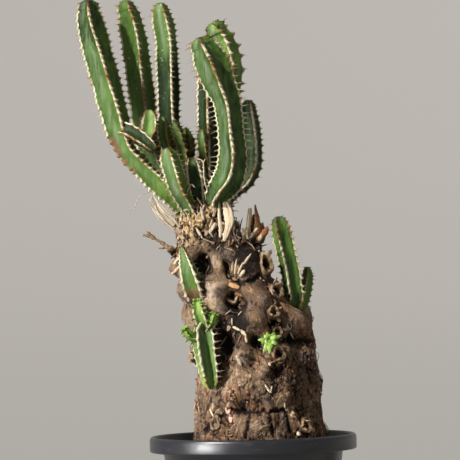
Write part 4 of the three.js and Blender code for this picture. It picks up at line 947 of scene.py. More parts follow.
def ring_scar(bm, marks, angle, height, radius, lift, turned, tall, draw):
    """An open ragged cup that stands on the bark where an old stem fell off, with husks at its foot."""
    seat = bark_place(angle, height)
    out = Vector((math.sin(angle * turned), -math.cos(angle * turned), SCAR_UPWARD)).normalized()
    side = out.cross(UP).normalized()
    top = side.cross(out) * tall
    seed = SCAR_SEEDS * draw.random()
    spokes = [FULL_TURN * turn / SCAR_AROUND for turn in range(SCAR_AROUND)]
    wander = [1 + SCAR_WANDER * noise.noise(round_axis(1, a, seed)) for a in spokes]
    tear = SCAR_TEAR
    torn = [tear["reach"] * noise.noise(round_axis(tear["fineness"], a, seed + 9)) for a in spokes]
    worn = SCAR_SHADES["worn"] * (1 - min(1, lift / SCAR_SHADES["full_lift"]))
    rings = []
    for reach, along, tone in SCAR_PROFILE:
        points = []
        for turn, a in enumerate(spokes):
            size = radius * lerp(1, wander[turn], min(1, reach * 2)) * reach
            rise = along * lift if along > 0 else along * SCAR_DEPTH
            rise += torn[turn] if along > tear["from"] else 0
            place = seat + side * (size * math.cos(a)) + top * (size * math.sin(a)) + out * rise
            shade = tone + SCAR_SHADES["swing"] * (draw.random() - 0.5) - worn
            points.append((place, (clamp(shade), SCAR_SHADES["warmth"], 0, 1)))
        rings.append(points)
    tube(bm, marks, rings)
    foot = SCAR_HUSKS
    for _ in range(round(foot["per_lift"] * lift)):
        a = FULL_TURN * draw.random()
        spoke = side * math.cos(a) + top * math.sin(a)
        root = seat + spoke * (radius * foot["root"])
        run = (out * pick(draw, *foot["out"]) + spoke * pick(draw, *foot["spread"])).normalized()
        husk(bm, marks, root, run, spoke, radius * pick(draw, *foot["length"]),
             radius * pick(draw, *foot["width"]), pick(draw, *foot["lift"]),
             pick(draw, *foot["tone"], 1.4), foot["warmth"] * draw.random(), draw)


def bark_chip(bm, marks, angle, height, length, width, lift, spin, tone, warmth, draw):
    """A husk on the bark; a spin of 0 points up."""
    out = bark_normal(angle, height)
    side = out.cross(UP).normalized()
    run = (side.cross(out) * math.cos(spin) + side * math.sin(spin)).normalized()
    husk(bm, marks, bark_place(angle, height), run, out, length, width, lift, tone, warmth, draw)


def bark_hair(bm, marks, angle, height, reach, half_width, tone, warmth, draw):
    """A thin fibre that winds over the bark and lifts off it in places."""
    radius = profile_at(height)[1]
    turn = FULL_TURN * draw.random()
    arch = pick(draw, *HAIR["arch"], 2)
    steps = HAIR["steps"]
    rows = []
    for step in range(steps + 1):
        clear = HAIR["clear"] + arch * math.sin(math.pi * step / steps)
        place = bark_place(angle, height) + bark_normal(angle, height) * clear
        rows.append([*place, half_width, HAIR["half_thickness"]])
        turn += HAIR["bend"] * (draw.random() - 0.5)
        angle += reach / steps * math.cos(turn) / radius
        height += reach / steps * math.sin(turn)
    blade(bm, marks, Limb(rows, bark_normal(angle, height)), tone, warmth, step=HAIR["ring_step"])


def bark_chips(bm, marks):
    """Chips and splinters all over the trunk, most of them small."""
    draw = random.Random(SEEDS["chips"])
    for _ in range(CHIPS["count"]):
        height = pick(draw, *CHIPS["heights"], 0.8)
        angle = FULL_TURN * draw.random()
        if BARE_KNOBS["low"] < height < BARE_KNOBS["high"]:
            relief = knob_relief(angle, height, profile_at(height)[1], knobs_near(height))
            if relief > BARE_KNOBS["relief"]:
                continue
        length = pick(draw, *CHIPS["length"], 2.5)
        width = length * pick(draw, *CHIPS["width"])
        spin = math.pi * (draw.random() < 0.55) + 0.9 * (draw.random() - 0.5)
        tone = 0.3 + 0.6 * draw.random() ** 1.5
        lift = pick(draw, *CHIPS["lift"], 2)
        bark_chip(bm, marks, angle, height, length, width, lift, spin, tone, draw.random(), draw)
    for _ in range(HAIRS["count"]):
        height = pick(draw, *HAIRS["heights"])
        angle = FULL_TURN * draw.random()
        length = pick(draw, *HAIRS["length"])
        bark_hair(bm, marks, angle, height, length, HAIRS["half_width"], draw.random(), 0.3, draw)


def placed_splinters(bm, marks):
    """The splinters, curls and chips whose places show on the front."""
    draw = random.Random(SEEDS["splinters"])
    for x1, z1, x2, z2, width, lift, tone, warmth in FRONT_SPLINTERS:
        start = bark_place(front_angle(x1, z1), z1)
        end = bark_place(front_angle(x2, z2), z2)
        out = bark_normal(front_angle(x1, z1), z1)
        rows = []
        for share, wide in HUSK_SHAPE:
            place = start.lerp(end, share) + out * (SPLINTER["clear"] + lift * share)
            rows.append([*place, width * wide * pick(draw, *SPLINTER["widths"]), SPLINTER["half_thickness"]])
        blade(bm, marks, Limb(rows, out), tone, warmth, curl=0.3, step=1, ragged=0.3, draw=draw)


def build_trunk(bark, dry):
    bm, marks = new_piece()
    trunk_skin(bm, marks)
    finish_piece("trunk_bark", bm, bark, "bark", "trunk")

    bm, marks = new_piece()
    draw = random.Random(SEEDS["scars"])
    for x, height, radius, lift, turned, tall in FRONT_SCARS:
        ring_scar(bm, marks, front_angle(x, height), height, radius, lift, turned, tall, draw)
    for place, (angle, height, _, _) in enumerate(BACK_KNOBS):
        in_turn = place % BACK_SCAR["every"] == BACK_SCAR["first"]
        if in_turn and abs(math.sin(angle)) < BACK_SCAR["side"]:
            ring_scar(bm, marks, angle, height, BACK_SCAR["radius"], BACK_SCAR["lift"], 1, 1, draw)
    finish_piece("stem_scars", bm, dry, "dry_fibre")

    bm, marks = new_piece()
    bark_chips(bm, marks)
    finish_piece("bark_chips", bm, bark, "bark")

    bm, marks = new_piece()
    placed_splinters(bm, marks)
    finish_piece("front_splinters", bm, dry, "dry_fibre")


# Ribbed stems

def rib_side(radius, crest, half_width, valley_ratio):
    """Half of a rib, from beside its crest to the valley: (out, across, horn, face) points."""
    size = min(1, radius / FULL_SIZE_RADIUS)
    half = half_width * size
    valley = radius * valley_ratio * math.sqrt(0.5)
    corner = Vector((valley, valley))
    shoulder = Vector((radius - SHOULDER_INSET * size, SHOULDER_HALF_WIDTH * size))
    pull = corner + Vector((1, -1)) * ((corner - shoulder).length * VALLEY_PULL)
    points = [(crest - below * size, half * wide, horn, 0) for below, wide, horn in HORN_POINTS]
    points.append((*shoulder, 0, SHOULDER_FACE))
    for t in FACE_POINTS:
        place = shoulder.lerp(pull, t).lerp(pull.lerp(corner, t), t)
        points.append((*place, 0, lerp(SHOULDER_FACE, 1, t)))
    return points, valley


def rib_ring(spot, radius, twist, teeth, swells, brown, cork, dry, spec):
    """One ring of a stem: place and marks (horn, brown, cork, face) of each of its points. Its brown is
    paler on the left rib as painted light, and its face mark carries the bloom with its painted sheen.
    """
    points = []
    for rib in range(RIBS):
        angle = twist + rib * FULL_TURN / RIBS
        out = spot.spoke(angle)
        across = spot.side * math.cos(angle) - spot.front * math.sin(angle)
        tooth = teeth[rib]
        reach = radius * swells[rib]
        size = min(1, reach / FULL_SIZE_RADIUS)
        crest = reach + (spec.get("tooth", TOOTH) * tooth - CREST_INSET) * size
        wide = lerp(*HORN_HALF_WIDTHS, min(1, tooth)) * spec.get("horn", 1)
        wide *= 1 + HORN_UNEVEN * noise.noise(spot.place * HORN_SCALE + UP * (3.7 * rib))
        side, valley = rib_side(reach, crest, wide, spec.get("valley", VALLEY_RATIO))
        tint = clamp(brown + RIB_BROWN_AND_LIGHT[rib] + TOOTH_BROWN * tooth)
        scabbed = dry if rib == RIBS - 1 else 0
        half = []
        for along, sideways, horn, face in side:
            corky = cork + scabbed * (1 - face)
            half.append((along, sideways, horn * (1 - min(1, scabbed)), corky, face))
        for along, sideways, horn, corky, face in reversed(half):
            place = out * along - across * sideways
            points.append((spot.place + place, (horn, tint, corky, bloom_and_sheen_at(place, radius, face, spec))))
        points.append((spot.place + out * crest, (1 - min(1, scabbed), tint, cork + scabbed, 0)))
        for along, sideways, horn, corky, face in half:
            place = out * along + across * sideways
            points.append((spot.place + place, (horn, tint, corky, bloom_and_sheen_at(place, radius, face, spec))))
        place = (out + across) * valley
        points.append((spot.place + place, (0, tint, cork, bloom_and_sheen_at(place, radius, 1, spec))))
    return points


def bloom_and_sheen_at(place, radius, face, spec):
    """How much bloom a skin shows: most on the left, which faces the sun, as a painted sheen, or evenly all
    over a bloomed limb.
    """
    sun_side_sheen = clamp(BLOOM_AND_SUN_SHEEN["middle"] - BLOOM_AND_SUN_SHEEN["left"] * place.x / max(radius, 0.1))
    return max(spec.get("bloomed", 0), face * sun_side_sheen)


def spine(bm, marks, skin, root, direction, length, width, colour, fresh):
    """A slim thorn or small leaf, pale at its root and browner at its tip."""
    turn = direction.to_track_quat("Z", "Y").to_matrix().to_4x4()
    place = Matrix.Translation(root + direction * (length / 2)) @ turn
    thorn = bmesh.ops.create_cone(bm, cap_ends=True, segments=SPINE_SIDES, radius1=width,
                                  radius2=SPINE_POINT, depth=length, matrix=place)
    horn, tint = colour
    for vert in thorn["verts"]:
        far = (vert.co - root).dot(direction) / length
        vert[marks] = (horn, clamp(tint + SPINE_TIP_BROWN * far), 0, 0)
        vert[skin] = fresh


def skin_at(spec, share):
    """The skin's freshness, bloom and specks at a share of a limb's length. On stems in shade the dark skin
    is painted shade, and a shadow edge sets where the painted shadow on stem_middle gives way to its lit
    skin.
    """
    low, high = spec["skin"]
    if "shadow_edge" in spec:
        share = smoothstep(share, *spec["shadow_edge"])
    return (*(lerp(a, b, share) for a, b in zip(low, high)), 1)


def tip_tuft(bm, marks, skin, spec, limb, draw):
    """Short brown spines, or small leaves, that stand round a limb's tip."""
    spot = limb.at(limb.length)
    radius = spec["rows"][-1][3]
    count = TIP_SPINES // 2 + 1 if spec.get("leafy") else TIP_SPINES
    for place in range(count):
        angle = FULL_TURN * (place + 0.6 * draw.random()) / count
        spoke = spot.spoke(angle)
        direction = (spot.along * pick(draw, 0.5, 1.3) + spoke).normalized()
        root = spot.place + spoke * (radius * 0.5) + spot.along * 0.6
        if spec.get("leafy"):
            sizes, colour = (LEAF["length"] * pick(draw, *LEAF["lengths"]), LEAF["width"]), (0, 0)
        else:
            sizes, colour = (pick(draw, *TIP_SPINE["length"]), TIP_SPINE["width"]), (1, TIP_SPINE["brown"])
        spine(bm, marks, skin, root, direction, *sizes, colour, skin_at(spec, 1))


def swing(place, noise_of):
    """A noise of a scale and a reach at a place."""
    scale, reach = noise_of
    return reach * noise.noise(place * scale)


def ribbed_limb(bm, marks, skin, spec, draw):
    limb = Limb(spec["rows"])
    total = limb.length + TIP_BEYOND
    scab_from, scab_to = spec.get("scab", SCAB["none"])
    step_length = RING_STEP
    steps = round(total / step_length)
    rings = []
    areoles = []
    wave_count = 0.0
    for step in range(steps + 1):
        distance = total * step / steps
        spot = limb.at(distance)
        beyond = clamp((distance - limb.length) / TIP_BEYOND)
        radius = limb.value(spot, 3) * math.sqrt(max(0, 1 - beyond * beyond))
        if total - distance < TIP_ROUND:
            full = limb.value(limb.at(total - 2 * TIP_ROUND), 3)
            round_end = math.sqrt(max(0, 1 - ((TIP_ROUND - total + distance) / TIP_ROUND) ** 2))
            radius = max(radius, full * spec.get("blunt", TIP_BLUNTNESS) * round_end)
        radius *= 1 + swing(spot.place, LIMB_SWELL)
        twist = math.radians(lerp(*spec["turn"], distance / total) + swing(spot.place, LIMB_TWIST))
        to_tip = total - distance
        spacing = lerp(TIP_SPACING, AREOLE_SPACING, smoothstep(to_tip, *TIP_BAND))
        spacing *= lerp(0.75, 1, min(1, radius / FULL_SIZE_RADIUS))
        spacing *= spec.get("gap", 1) * (1 + swing(spot.place, LIMB_GAPS))
        before = wave_count
        wave_count += total / steps / spacing
        teeth = []
        swells = []
        for rib in range(RIBS):
            root_x = spec["rows"][0][0]
            place = Vector((distance * RIB_NOISE["along"], rib * RIB_NOISE["apart"], root_x))
            swells.append(1 + RIB_SWELL * noise.noise(place))
            wave = wave_count - 0.5 * (rib % 2)
            place = Vector((round(wave) * TOOTH_NOISE["along"], rib * TOOTH_NOISE["apart"], root_x))
            strength = 1 + TOOTH_NOISE["reach"] * noise.noise(place)
            teeth.append(strength * math.cos(math.pi * wave) ** (2 * TOOTH_SHARPNESS))
        patch = smoothstep(0.5 + noise.noise(spot.place * PATCH_SCALE), *DRY_PATCH["band"])
        brown = clamp(TIP_BROWNS["all"] - to_tip / TIP_BROWNS["length"]) + DRY_PATCH["brown"] * patch
        brown += spec.get("brown", 0)
        dry = smoothstep(distance, scab_from, scab_from + SCAB["edge"])
        dry *= 1 - smoothstep(distance, scab_to - SCAB["edge"], scab_to)
        dry *= SCAB["all"] + swing(spot.place, SCAB_NOISE)
        cork = clamp(1.1 - distance / spec.get("root", 6) + swing(spot.place, CORK_NOISE))
        rings.append(rib_ring(spot, radius, twist, teeth, swells, brown, cork, dry, spec))
        if distance > spec["bare"] and beyond < 1:
            for rib in range(RIBS):
                offset = 0.5 * (rib % 2)
                if math.floor(wave_count - offset) > math.floor(before - offset):
                    fresh = skin_at(spec, distance / total)
                    areoles.append((spot, radius * swells[rib], twist, rib, brown, fresh))
    start = limb.at(-1).place
    rings.insert(0, [(start, rings[0][0][1])] * len(rings[0]))
    for vert in tube(bm, marks, rings):
        along = (vert.co - limb.rows_start).dot(limb.rows_run) / limb.rows_run.length_squared
        vert[skin] = skin_at(spec, clamp(along))
    for spot, radius, twist, rib, brown, fresh in areoles:
        size = min(1, radius / FULL_SIZE_RADIUS)
        angle = twist + rib * FULL_TURN / RIBS
        out = spot.spoke(angle)
        reach = radius + (spec.get("tooth", TOOTH) - CREST_INSET) * size - SPINE["sunk"]
        root = spot.place + out * reach
        long = SPINE["length"] * (spec.get("spines", 1) if rib % 2 else 1)
        tint = clamp(brown + RIB_BROWN_AND_LIGHT[rib])
        for spread in (0.1,) if spec.get("leafy") else (-SPINE["spread"], SPINE["spread"]):
            wide = angle + spread * pick(draw, *SPINE["spreads"])
            direction = spot.spoke(wide)
            tilt = SPINE["tilts"] * (draw.random() - 0.5) - SPINE["droop"]
            direction = (direction + spot.along * tilt).normalized()
            share = pick(draw, *SPINE["lengths"]) * lerp(0.7, 1, size)
            if spec.get("leafy"):
                sizes, colour = (LEAF["length"] * share, LEAF["width"]), (0, 0)
            else:
                sizes, colour = (long * share, SPINE["width"] * lerp(0.75, 1, size)), (1, tint)
            spine(bm, marks, skin, root, direction, *sizes, colour, fresh)
    tip_tuft(bm, marks, skin, spec, limb, draw)


def build_stems(greens):
    for place, (name, limbs) in enumerate(STEMS.items()):
        draw = random.Random(SEEDS["stems"] + place)
        bm, marks = new_piece()
        skin = bm.verts.layers.float_color.new("skin")
        marks = bm.verts.layers.float_color["marks"]
        for spec in limbs:
            ribbed_limb(bm, marks, skin, spec, draw)
        finish_piece(name + "_ribs", bm, greens, "green_skin", name)


# Small leafy and dry pieces

def build_rosette(fresh):
    bm, marks = new_piece()
    draw = random.Random(SEEDS["rosette"])
    heart = Vector(ROSETTE["heart"])
    outward = Vector(ROSETTE["outward"]).normalized()
    side = outward.cross(UP).normalized()
    top = side.cross(outward)
    rows = [[*(heart + outward * along), half_width, half_width] for along, half_width in BUD_ROWS]
    blade(bm, marks, Limb(rows, UP), 0.62, 0.2, step=0.8)
    for ring, (count, size, lifts) in enumerate(LEAF_RINGS):
        for leaf in range(count):
            angle = FULL_TURN * (leaf + 0.7 * draw.random() + 0.5 * ring) / count
            reach = ROSETTE["length"] * pick(draw, *ROSETTE["lengths"]) * size
            lift = pick(draw, *lifts)
            spoke = side * math.cos(angle) + top * math.sin(angle)
            rows = [[*(heart + spoke * LEAF_FOOT[0]), *LEAF_FOOT[1:]]]
            for share, rise, *half_sizes in LEAF_ROWS:
                place = heart + spoke * reach * share + outward * reach * lift * rise
                rows.append([*place, *half_sizes])
            blade(bm, marks, Limb(rows, outward), 0.3 + 0.42 * draw.random(), 0.2, curl=-0.4, step=0.8)
    finish_piece("rosette_leaves", bm, fresh, "fresh_green", "rosette")


def tuft(bm, marks, root, aim, count, length, draw):
    """Curled husks of all lengths that fan out from one place."""
    for _ in range(count):
        stray = stray_by(draw)
        run = (Vector(aim) + stray * TUFT["spread"]).normalized()
        out = (FRONT - run * FRONT.dot(run)).normalized()
        start = Vector(root) + stray * TUFT["foot"]
        husk(bm, marks, start, run, out, length * pick(draw, *TUFT["length"]),
             pick(draw, *TUFT["width"], 1.5), draw.random() - 0.4, draw.random() ** 1.3,
             draw.random() ** 1.5, draw)


def build_dry_pieces(dry):
    draw = random.Random(SEEDS["dry_pieces"])
    bm, marks = new_piece()
    for rows, tone, pleats in zip(PAPERY_FLAKE, FLAKE_TONES, FLAKE_PLEATS):
        blade(bm, marks, Limb(rows), tone, 0.1, curl=0.2, step=0.9, ragged=0.16, draw=draw, pleats=pleats)
    finish_piece("papery_flakes", bm, dry, "dry_fibre", "papery_flake")

    bm, marks = new_piece()
    for rows in DEAD_TWIG:
        blade(bm, marks, Limb(rows), 0.5, 0.4, step=0.8, ragged=0.7, draw=draw)
    tuft(bm, marks, *TWIG_TUFT, draw)
    finish_piece("dead_twig_wood", bm, dry, "dry_fibre", "dead_twig")

    bm, marks = new_piece()
    for fibre in range(FIBRE_COUNT):
        share = 2 * fibre / (FIBRE_COUNT - 1) - 1
        stray = FIBRE_STRAY * (draw.random() - 0.5)
        rows = []
        for step, (x, y, z, spread) in enumerate(FIBRE_PATH):
            wave = FIBRE_WAVE["reach"] * math.sin(FIBRE_WAVE["along"] * step + FIBRE_WAVE["apart"] * fibre)
            shift = spread * (share + wave)
            half_width = FIBRE_HALF_WIDTHS[fibre % 3] if step < len(FIBRE_PATH) - 1 else FIBRE_END
            rows.append([x + FIBRE_ACROSS[0] * shift, y + stray * min(1, step), z + FIBRE_ACROSS[1] * shift,
                         half_width, FIBRE_HALF_THICKNESS])
        cut = len(rows) - (fibre % 3 == 1)
        blade(bm, marks, Limb(rows[:cut]), pick(draw, 0.75, 1), 0.1, step=1.1, ragged=0.3, draw=draw)
    blade(bm, marks, Limb(FIBRE_LOOP), 0.85, 0.1, step=1.1)
    finish_piece("fibre_strips", bm, dry, "dry_fibre", "fibre_strip")

    bm, marks = new_piece()
    for rows, tone, warmth in DRY_CLUSTER:
        blade(bm, marks, Limb(rows), tone, warmth, curl=0.5, step=0.9, ragged=0.4, draw=draw)
    for place in CLUSTER_TUFTS:
        tuft(bm, marks, *place, draw)
    finish_piece("dry_cluster_husks", bm, dry, "dry_fibre", "dry_cluster")


def build_crown_husks(dry):
    """Dry husks, torn strips and winding fibres round the crown, among the stems' roots."""
    bm, marks = new_piece()
    draw = random.Random(SEEDS["crown_husks"])
    stalk_draw = random.Random(SEEDS["crown_stalks"])
    for rows in CROWN_STALKS:
        blade(bm, marks, Limb(rows), 1, 0.3, step=0.9, ragged=0.3, draw=stalk_draw)
    for _ in range(CROWN_HUSKS["count"]):
        angle = FULL_TURN * draw.random()
        height = pick(draw, *CROWN_HUSKS["heights"])
        length = pick(draw, *CROWN_HUSKS["length"], 1.8)
        spin = math.pi * (draw.random() < 0.4) + 1.8 * (draw.random() - 0.5)
        width = pick(draw, *CROWN_HUSKS["width"], 1.5)
        lift = pick(draw, *CROWN_HUSKS["lift"])
        tone = 0.5 + 0.5 * math.sin(9 * draw.random())
        bark_chip(bm, marks, angle, height, length, width, lift, spin, tone, 0.7 * draw.random(), draw)
    for _ in range(CROWN_HAIRS["count"]):
        tone = 0 if draw.random() < 0.4 else pick(draw, 0.6, 1)
        angle = FULL_TURN * draw.random()
        height = pick(draw, *CROWN_HAIRS["heights"])
        length = pick(draw, *CROWN_HAIRS["length"])
        bark_hair(bm, marks, angle, height, length, CROWN_HAIRS["half_width"], tone, 0.2, draw)
    finish_piece("crown_husks", bm, dry, "dry_fibre")


# The pot and its soil

def wall_radius(height):
    rise = (height - FLOOR) / (POT_HEIGHT - RIM_DROP - FLOOR)
    return lerp(WALL_BASE_RADIUS, WALL_TOP_RADIUS, rise) - WALL


def build_pot(plastic):
    """The pot's wall turned from its section, with rounded edges, and its drain holes cut."""
    ledge = POT_HEIGHT - RIM_DROP
    rim_inner = RIM_RADIUS - RIM_WALL
    section = [
        (0, 0), (WALL_BASE_RADIUS - 1.2, 0), (WALL_BASE_RADIUS, 1.2), (WALL_TOP_RADIUS, ledge - 0.4),
        (WALL_TOP_RADIUS + 0.5, ledge), (RIM_RADIUS - 0.9, ledge), (RIM_RADIUS - 0.15, ledge + 0.5),
        (RIM_RADIUS, ledge + 1.3), (RIM_RADIUS, POT_HEIGHT - 2.4), (RIM_RADIUS - 0.5, POT_HEIGHT - 0.9),
        (RIM_RADIUS - 1.6, POT_HEIGHT - 0.1), (RIM_RADIUS - 2.4, POT_HEIGHT - 0.1),
        (rim_inner + 0.2, POT_HEIGHT - 0.8), (rim_inner, POT_HEIGHT - 1.8), (rim_inner, ledge + WALL + 0.6),
        (rim_inner - 0.6, ledge + WALL), (WALL_TOP_RADIUS - WALL + 0.6, ledge + WALL),
        (WALL_TOP_RADIUS - WALL, ledge + WALL - 0.8), (wall_radius(FLOOR) + 0.4, FLOOR + 2),
        (wall_radius(FLOOR) - 1.6, FLOOR), (0, FLOOR),
    ]
    bm, _ = new_piece()
    turn_section(bm, section, POT_STEPS)
    pot = finish_piece("pot_plastic_shell", bm, plastic, "pot_plastic", "pot")
    drills, _ = new_piece()
    for hole in range(DRAIN_COUNT):
        angle = (hole + 0.5) * FULL_TURN / DRAIN_COUNT
        place = Matrix.Translation(round_axis(DRAIN_RING_RADIUS, angle, 0))
        bmesh.ops.create_cone(drills, cap_ends=True, segments=DRAIN_SIDES, radius1=DRAIN_RADIUS,
                              radius2=DRAIN_RADIUS, depth=4 * FLOOR, matrix=place)
    to_metres(drills)
    cutter = add_mesh("drills", drills)
    cut = pot.modifiers.new("drain_holes", "BOOLEAN")
    cut.operation = "DIFFERENCE"
    cut.object = cutter
    bpy.context.view_layer.update()
    drilled = bpy.data.meshes.new_from_object(pot.evaluated_get(bpy.context.evaluated_depsgraph_get()))
    pot.modifiers.remove(cut)
    pot.data = drilled
    bpy.data.objects.remove(cutter)
    drilled.set_sharp_from_angle(angle=POT_SHARP)


def soil_swell(place):
    return swing(place, SOIL_SWELL)


def build_soil(mix):
    """The soil in the pot, with coarse grains on its top."""
    bm, marks = new_piece()
    draw = random.Random(SEEDS["soil"])
    low = FLOOR + SOIL_GAP
    radii = [wall_radius(SOIL_TOP) - 1.4, *SOIL_RADII]
    outline = [(0, low), (wall_radius(low) - SOIL_GAP, low),
               (wall_radius(SOIL_TOP) - SOIL_GAP - 1, SOIL_TOP - 2),
               *((radius, SOIL_TOP) for radius in radii), (0, SOIL_TOP)]
    rings = []
    for row, (radius, height) in enumerate(outline):
        points = []
        for turn in range(SOIL_STEPS):
            angle = FULL_TURN * turn / SOIL_STEPS
            place = round_axis(radius, angle, height)
            if row > 2:
                place.z += soil_swell(place)
            points.append((place, SOIL_MARKS))
        rings.append(points)
    tube(bm, marks, rings)
    for _ in range(GRAINS["count"]):
        radius = math.sqrt(pick(draw, *GRAINS["ring"]))
        angle = FULL_TURN * draw.random()
        size = pick(draw, *GRAINS["sizes"], 1.6)
        place = round_axis(radius, angle, 0)
        place.z = SOIL_TOP + soil_swell(place) + GRAINS["clear"] * size
        spin = stray_by(draw).to_track_quat("Z", "Y").to_matrix().to_4x4()
        stretch = Matrix.Diagonal((1, pick(draw, *GRAINS["widths"]), pick(draw, *GRAINS["heights"]), 1))
        grain = bmesh.ops.create_icosphere(bm, subdivisions=1, radius=size,
                                           matrix=Matrix.Translation(place) @ spin @ stretch)
        tone, warmth = draw.random() ** 1.5, draw.random()
        for vert in grain["verts"]:
            vert[marks] = (tone, warmth, 0, 1)
    finish_piece("soil_grains", bm, mix, "potting_mix", "soil")


# Materials

class Paint:
    """A node tree, with short calls for the nodes that the materials share."""

    def __init__(self, tree):
        self.tree = tree

    def feed(self, socket, value):
        if isinstance(value, bpy.types.NodeSocket):
            self.tree.links.new(value, socket)
        else:
            socket.default_value = value

    def node(self, kind, settings=None, **inputs):
        """A shader node with its settings, and with its inputs set or linked."""
        made = self.tree.nodes.new("ShaderNode" + kind)
        for name, value in (settings or {}).items():
            setattr(made, name, value)
        for name, value in inputs.items():
            by_number = name[0] == "i" and name[1:].isdigit()
            self.feed(made.inputs[int(name[1:]) if by_number else name], value)
        return made

    def maths(self, operation, values):
        total = values[0]
        for value in values[1:]:
            total = self.node("Math", {"operation": operation}, i0=total, i1=value).outputs[0]
        return total

    def plus(self, *values):
        return self.maths("ADD", values)

    def minus(self, *values):
        return self.maths("SUBTRACT", values)

    def times(self, *values):
        return self.maths("MULTIPLY", values)

    def vary(self, value, *patterns):
        """A value with each pattern's swings round its middle added to it, times the pattern's gain."""
        for pattern, gain in patterns:
            value = self.plus(value, self.times(self.minus(pattern, 0.5), gain))
        return value

    def ramp(self, value, low, high):
        """A value's soft step from 0 at low to 1 at high."""
        settings = {"interpolation_type": "SMOOTHSTEP"}
        return self.node("MapRange", settings, i0=value, i1=low, i2=high).outputs[0]

    def blend(self, share, low, high):
        return self.node("Mix", {"data_type": "RGBA"}, i0=share, i6=low, i7=high).outputs[2]

    def vectors(self, operation, first, second):
        return self.node("VectorMath", {"operation": operation}, i0=first, i1=second).outputs[0]

    def stretch(self, given):
        """A group's Vector, with its height times the group's Stretch."""
        flat = self.node("CombineXYZ", i0=1.0, i1=1.0, i2=given["Stretch"]).outputs[0]
        return self.vectors("MULTIPLY", given["Vector"], flat)


def new_group(name, output, **inputs):
    """A node group: its painter, its given inputs, and the socket of its one output."""
    tree = bpy.data.node_groups.new(name, "ShaderNodeTree")
    for socket, default in inputs.items():
        kind = "Vector" if default is None else "Color" if isinstance(default, tuple) else "Float"
        made = tree.interface.new_socket(socket, in_out="INPUT", socket_type="NodeSocket" + kind)
        if default is not None:
            made.default_value = default
    kind = "Color" if output == "Color" else "Float"
    tree.interface.new_socket(output, in_out="OUTPUT", socket_type="NodeSocket" + kind)
    given = tree.nodes.new("NodeGroupInput").outputs
    return Paint(tree), given, tree.nodes.new("NodeGroupOutput").inputs[output]


def grain_group():
    """Stretched noise: fibres, streaks and mottling, by its scale and its stretch along Z."""
    paint, given, result = new_group("Grain", "Value", Vector=None, Scale=500.0, Stretch=0.3, Detail=4.0,
                                     Warp=0.5)
    made = paint.node("TexNoise", Vector=paint.stretch(given), Scale=given["Scale"], Detail=given["Detail"],
                      Roughness=0.62, Distortion=given["Warp"])
    paint.feed(result, made.outputs["Fac"])
    return paint.tree


def cracks_group():
    """Thin winding cracks between plates: 1 in a crack, 0 on a plate."""
    paint, given, result = new_group("Cracks", "Value", Vector=None, Scale=200.0, Stretch=0.5, Sway=0.002,
                                     Width=0.08)
    place = paint.stretch(given)
    cloud = paint.node("TexNoise", Vector=place, Scale=paint.times(given["Scale"], 0.6), Detail=3.0)
    middled = paint.vectors("SUBTRACT", cloud.outputs["Color"], (0.5, 0.5, 0.5))
    sway = paint.node("VectorMath", {"operation": "SCALE"}, i0=middled, Scale=given["Sway"]).outputs[0]
    swayed = paint.vectors("ADD", place, sway)
    cells = paint.node("TexVoronoi", {"feature": "DISTANCE_TO_EDGE"}, Vector=swayed, Scale=given["Scale"])
    gap = paint.ramp(cells.outputs["Distance"], 0.0, given["Width"])
    paint.feed(result, paint.minus(1.0, gap))
    return paint.tree


def tones_group():
    """Three colours, from dark through middle to pale, by a value from 0 to 1."""
    paint, given, result = new_group("Tones", "Color", Value=0.5, Dark=(0, 0, 0, 1),
                                     Middle=(0.5, 0.5, 0.5, 1), Pale=(1, 1, 1, 1))
    low = paint.blend(paint.ramp(given["Value"], 0.05, 0.5), given["Dark"], given["Middle"])
    paint.feed(result, paint.blend(paint.ramp(given["Value"], 0.5, 0.95), low, given["Pale"]))
    return paint.tree


GRAIN = grain_group()
CRACKS = cracks_group()
TONES = tones_group()


class Coat(Paint):
    """A material: its Principled shader's sockets, its Object coordinates and its mesh's marks."""

    def __init__(self, name, roughness, specular):
        self.material = bpy.data.materials.new(name)
        self.material.use_nodes = True
        super().__init__(self.material.node_tree)
        self.shader = self.tree.nodes["Principled BSDF"].inputs
        self.shader["Roughness"].default_value = roughness
        self.shader["Specular IOR Level"].default_value = specular
        self.spot = self.node("TexCoord").outputs["Object"]
        self.marks = self.layer("marks")

    def layer(self, name):
        """The four values that a layer of the mesh holds at each point."""
        found = self.node("Attribute", {"attribute_name": name}).outputs
        return [*self.node("SeparateColor", Color=found["Color"]).outputs, found["Alpha"]]

    def pattern(self, shared, **inputs):
        return self.node("Group", {"node_tree": shared}, **inputs).outputs[0]

    def grain(self, scale, stretch, detail, warp=0.5):
        return self.pattern(GRAIN, Vector=self.spot, Scale=scale, Stretch=stretch, Detail=detail, Warp=warp)

    def cracks(self, scale, stretch, sway, width):
        return self.pattern(CRACKS, Vector=self.spot, Scale=scale, Stretch=stretch, Sway=sway, Width=width)

    def tones(self, name, value):
        dark, middle, pale = ((*colour, 1) for colour in COLOURS[name])
        return self.pattern(TONES, Value=value, Dark=dark, Middle=middle, Pale=pale)

    def finish(self, colour, height, distance, strength):
        """The material, with its colour and with bumps of a height."""
        self.feed(self.shader["Base Color"], colour)
        bump = self.node("Bump", Height=height, Distance=distance, Strength=strength)
        self.feed(self.shader["Normal"], bump.outputs[0])
        return self.material


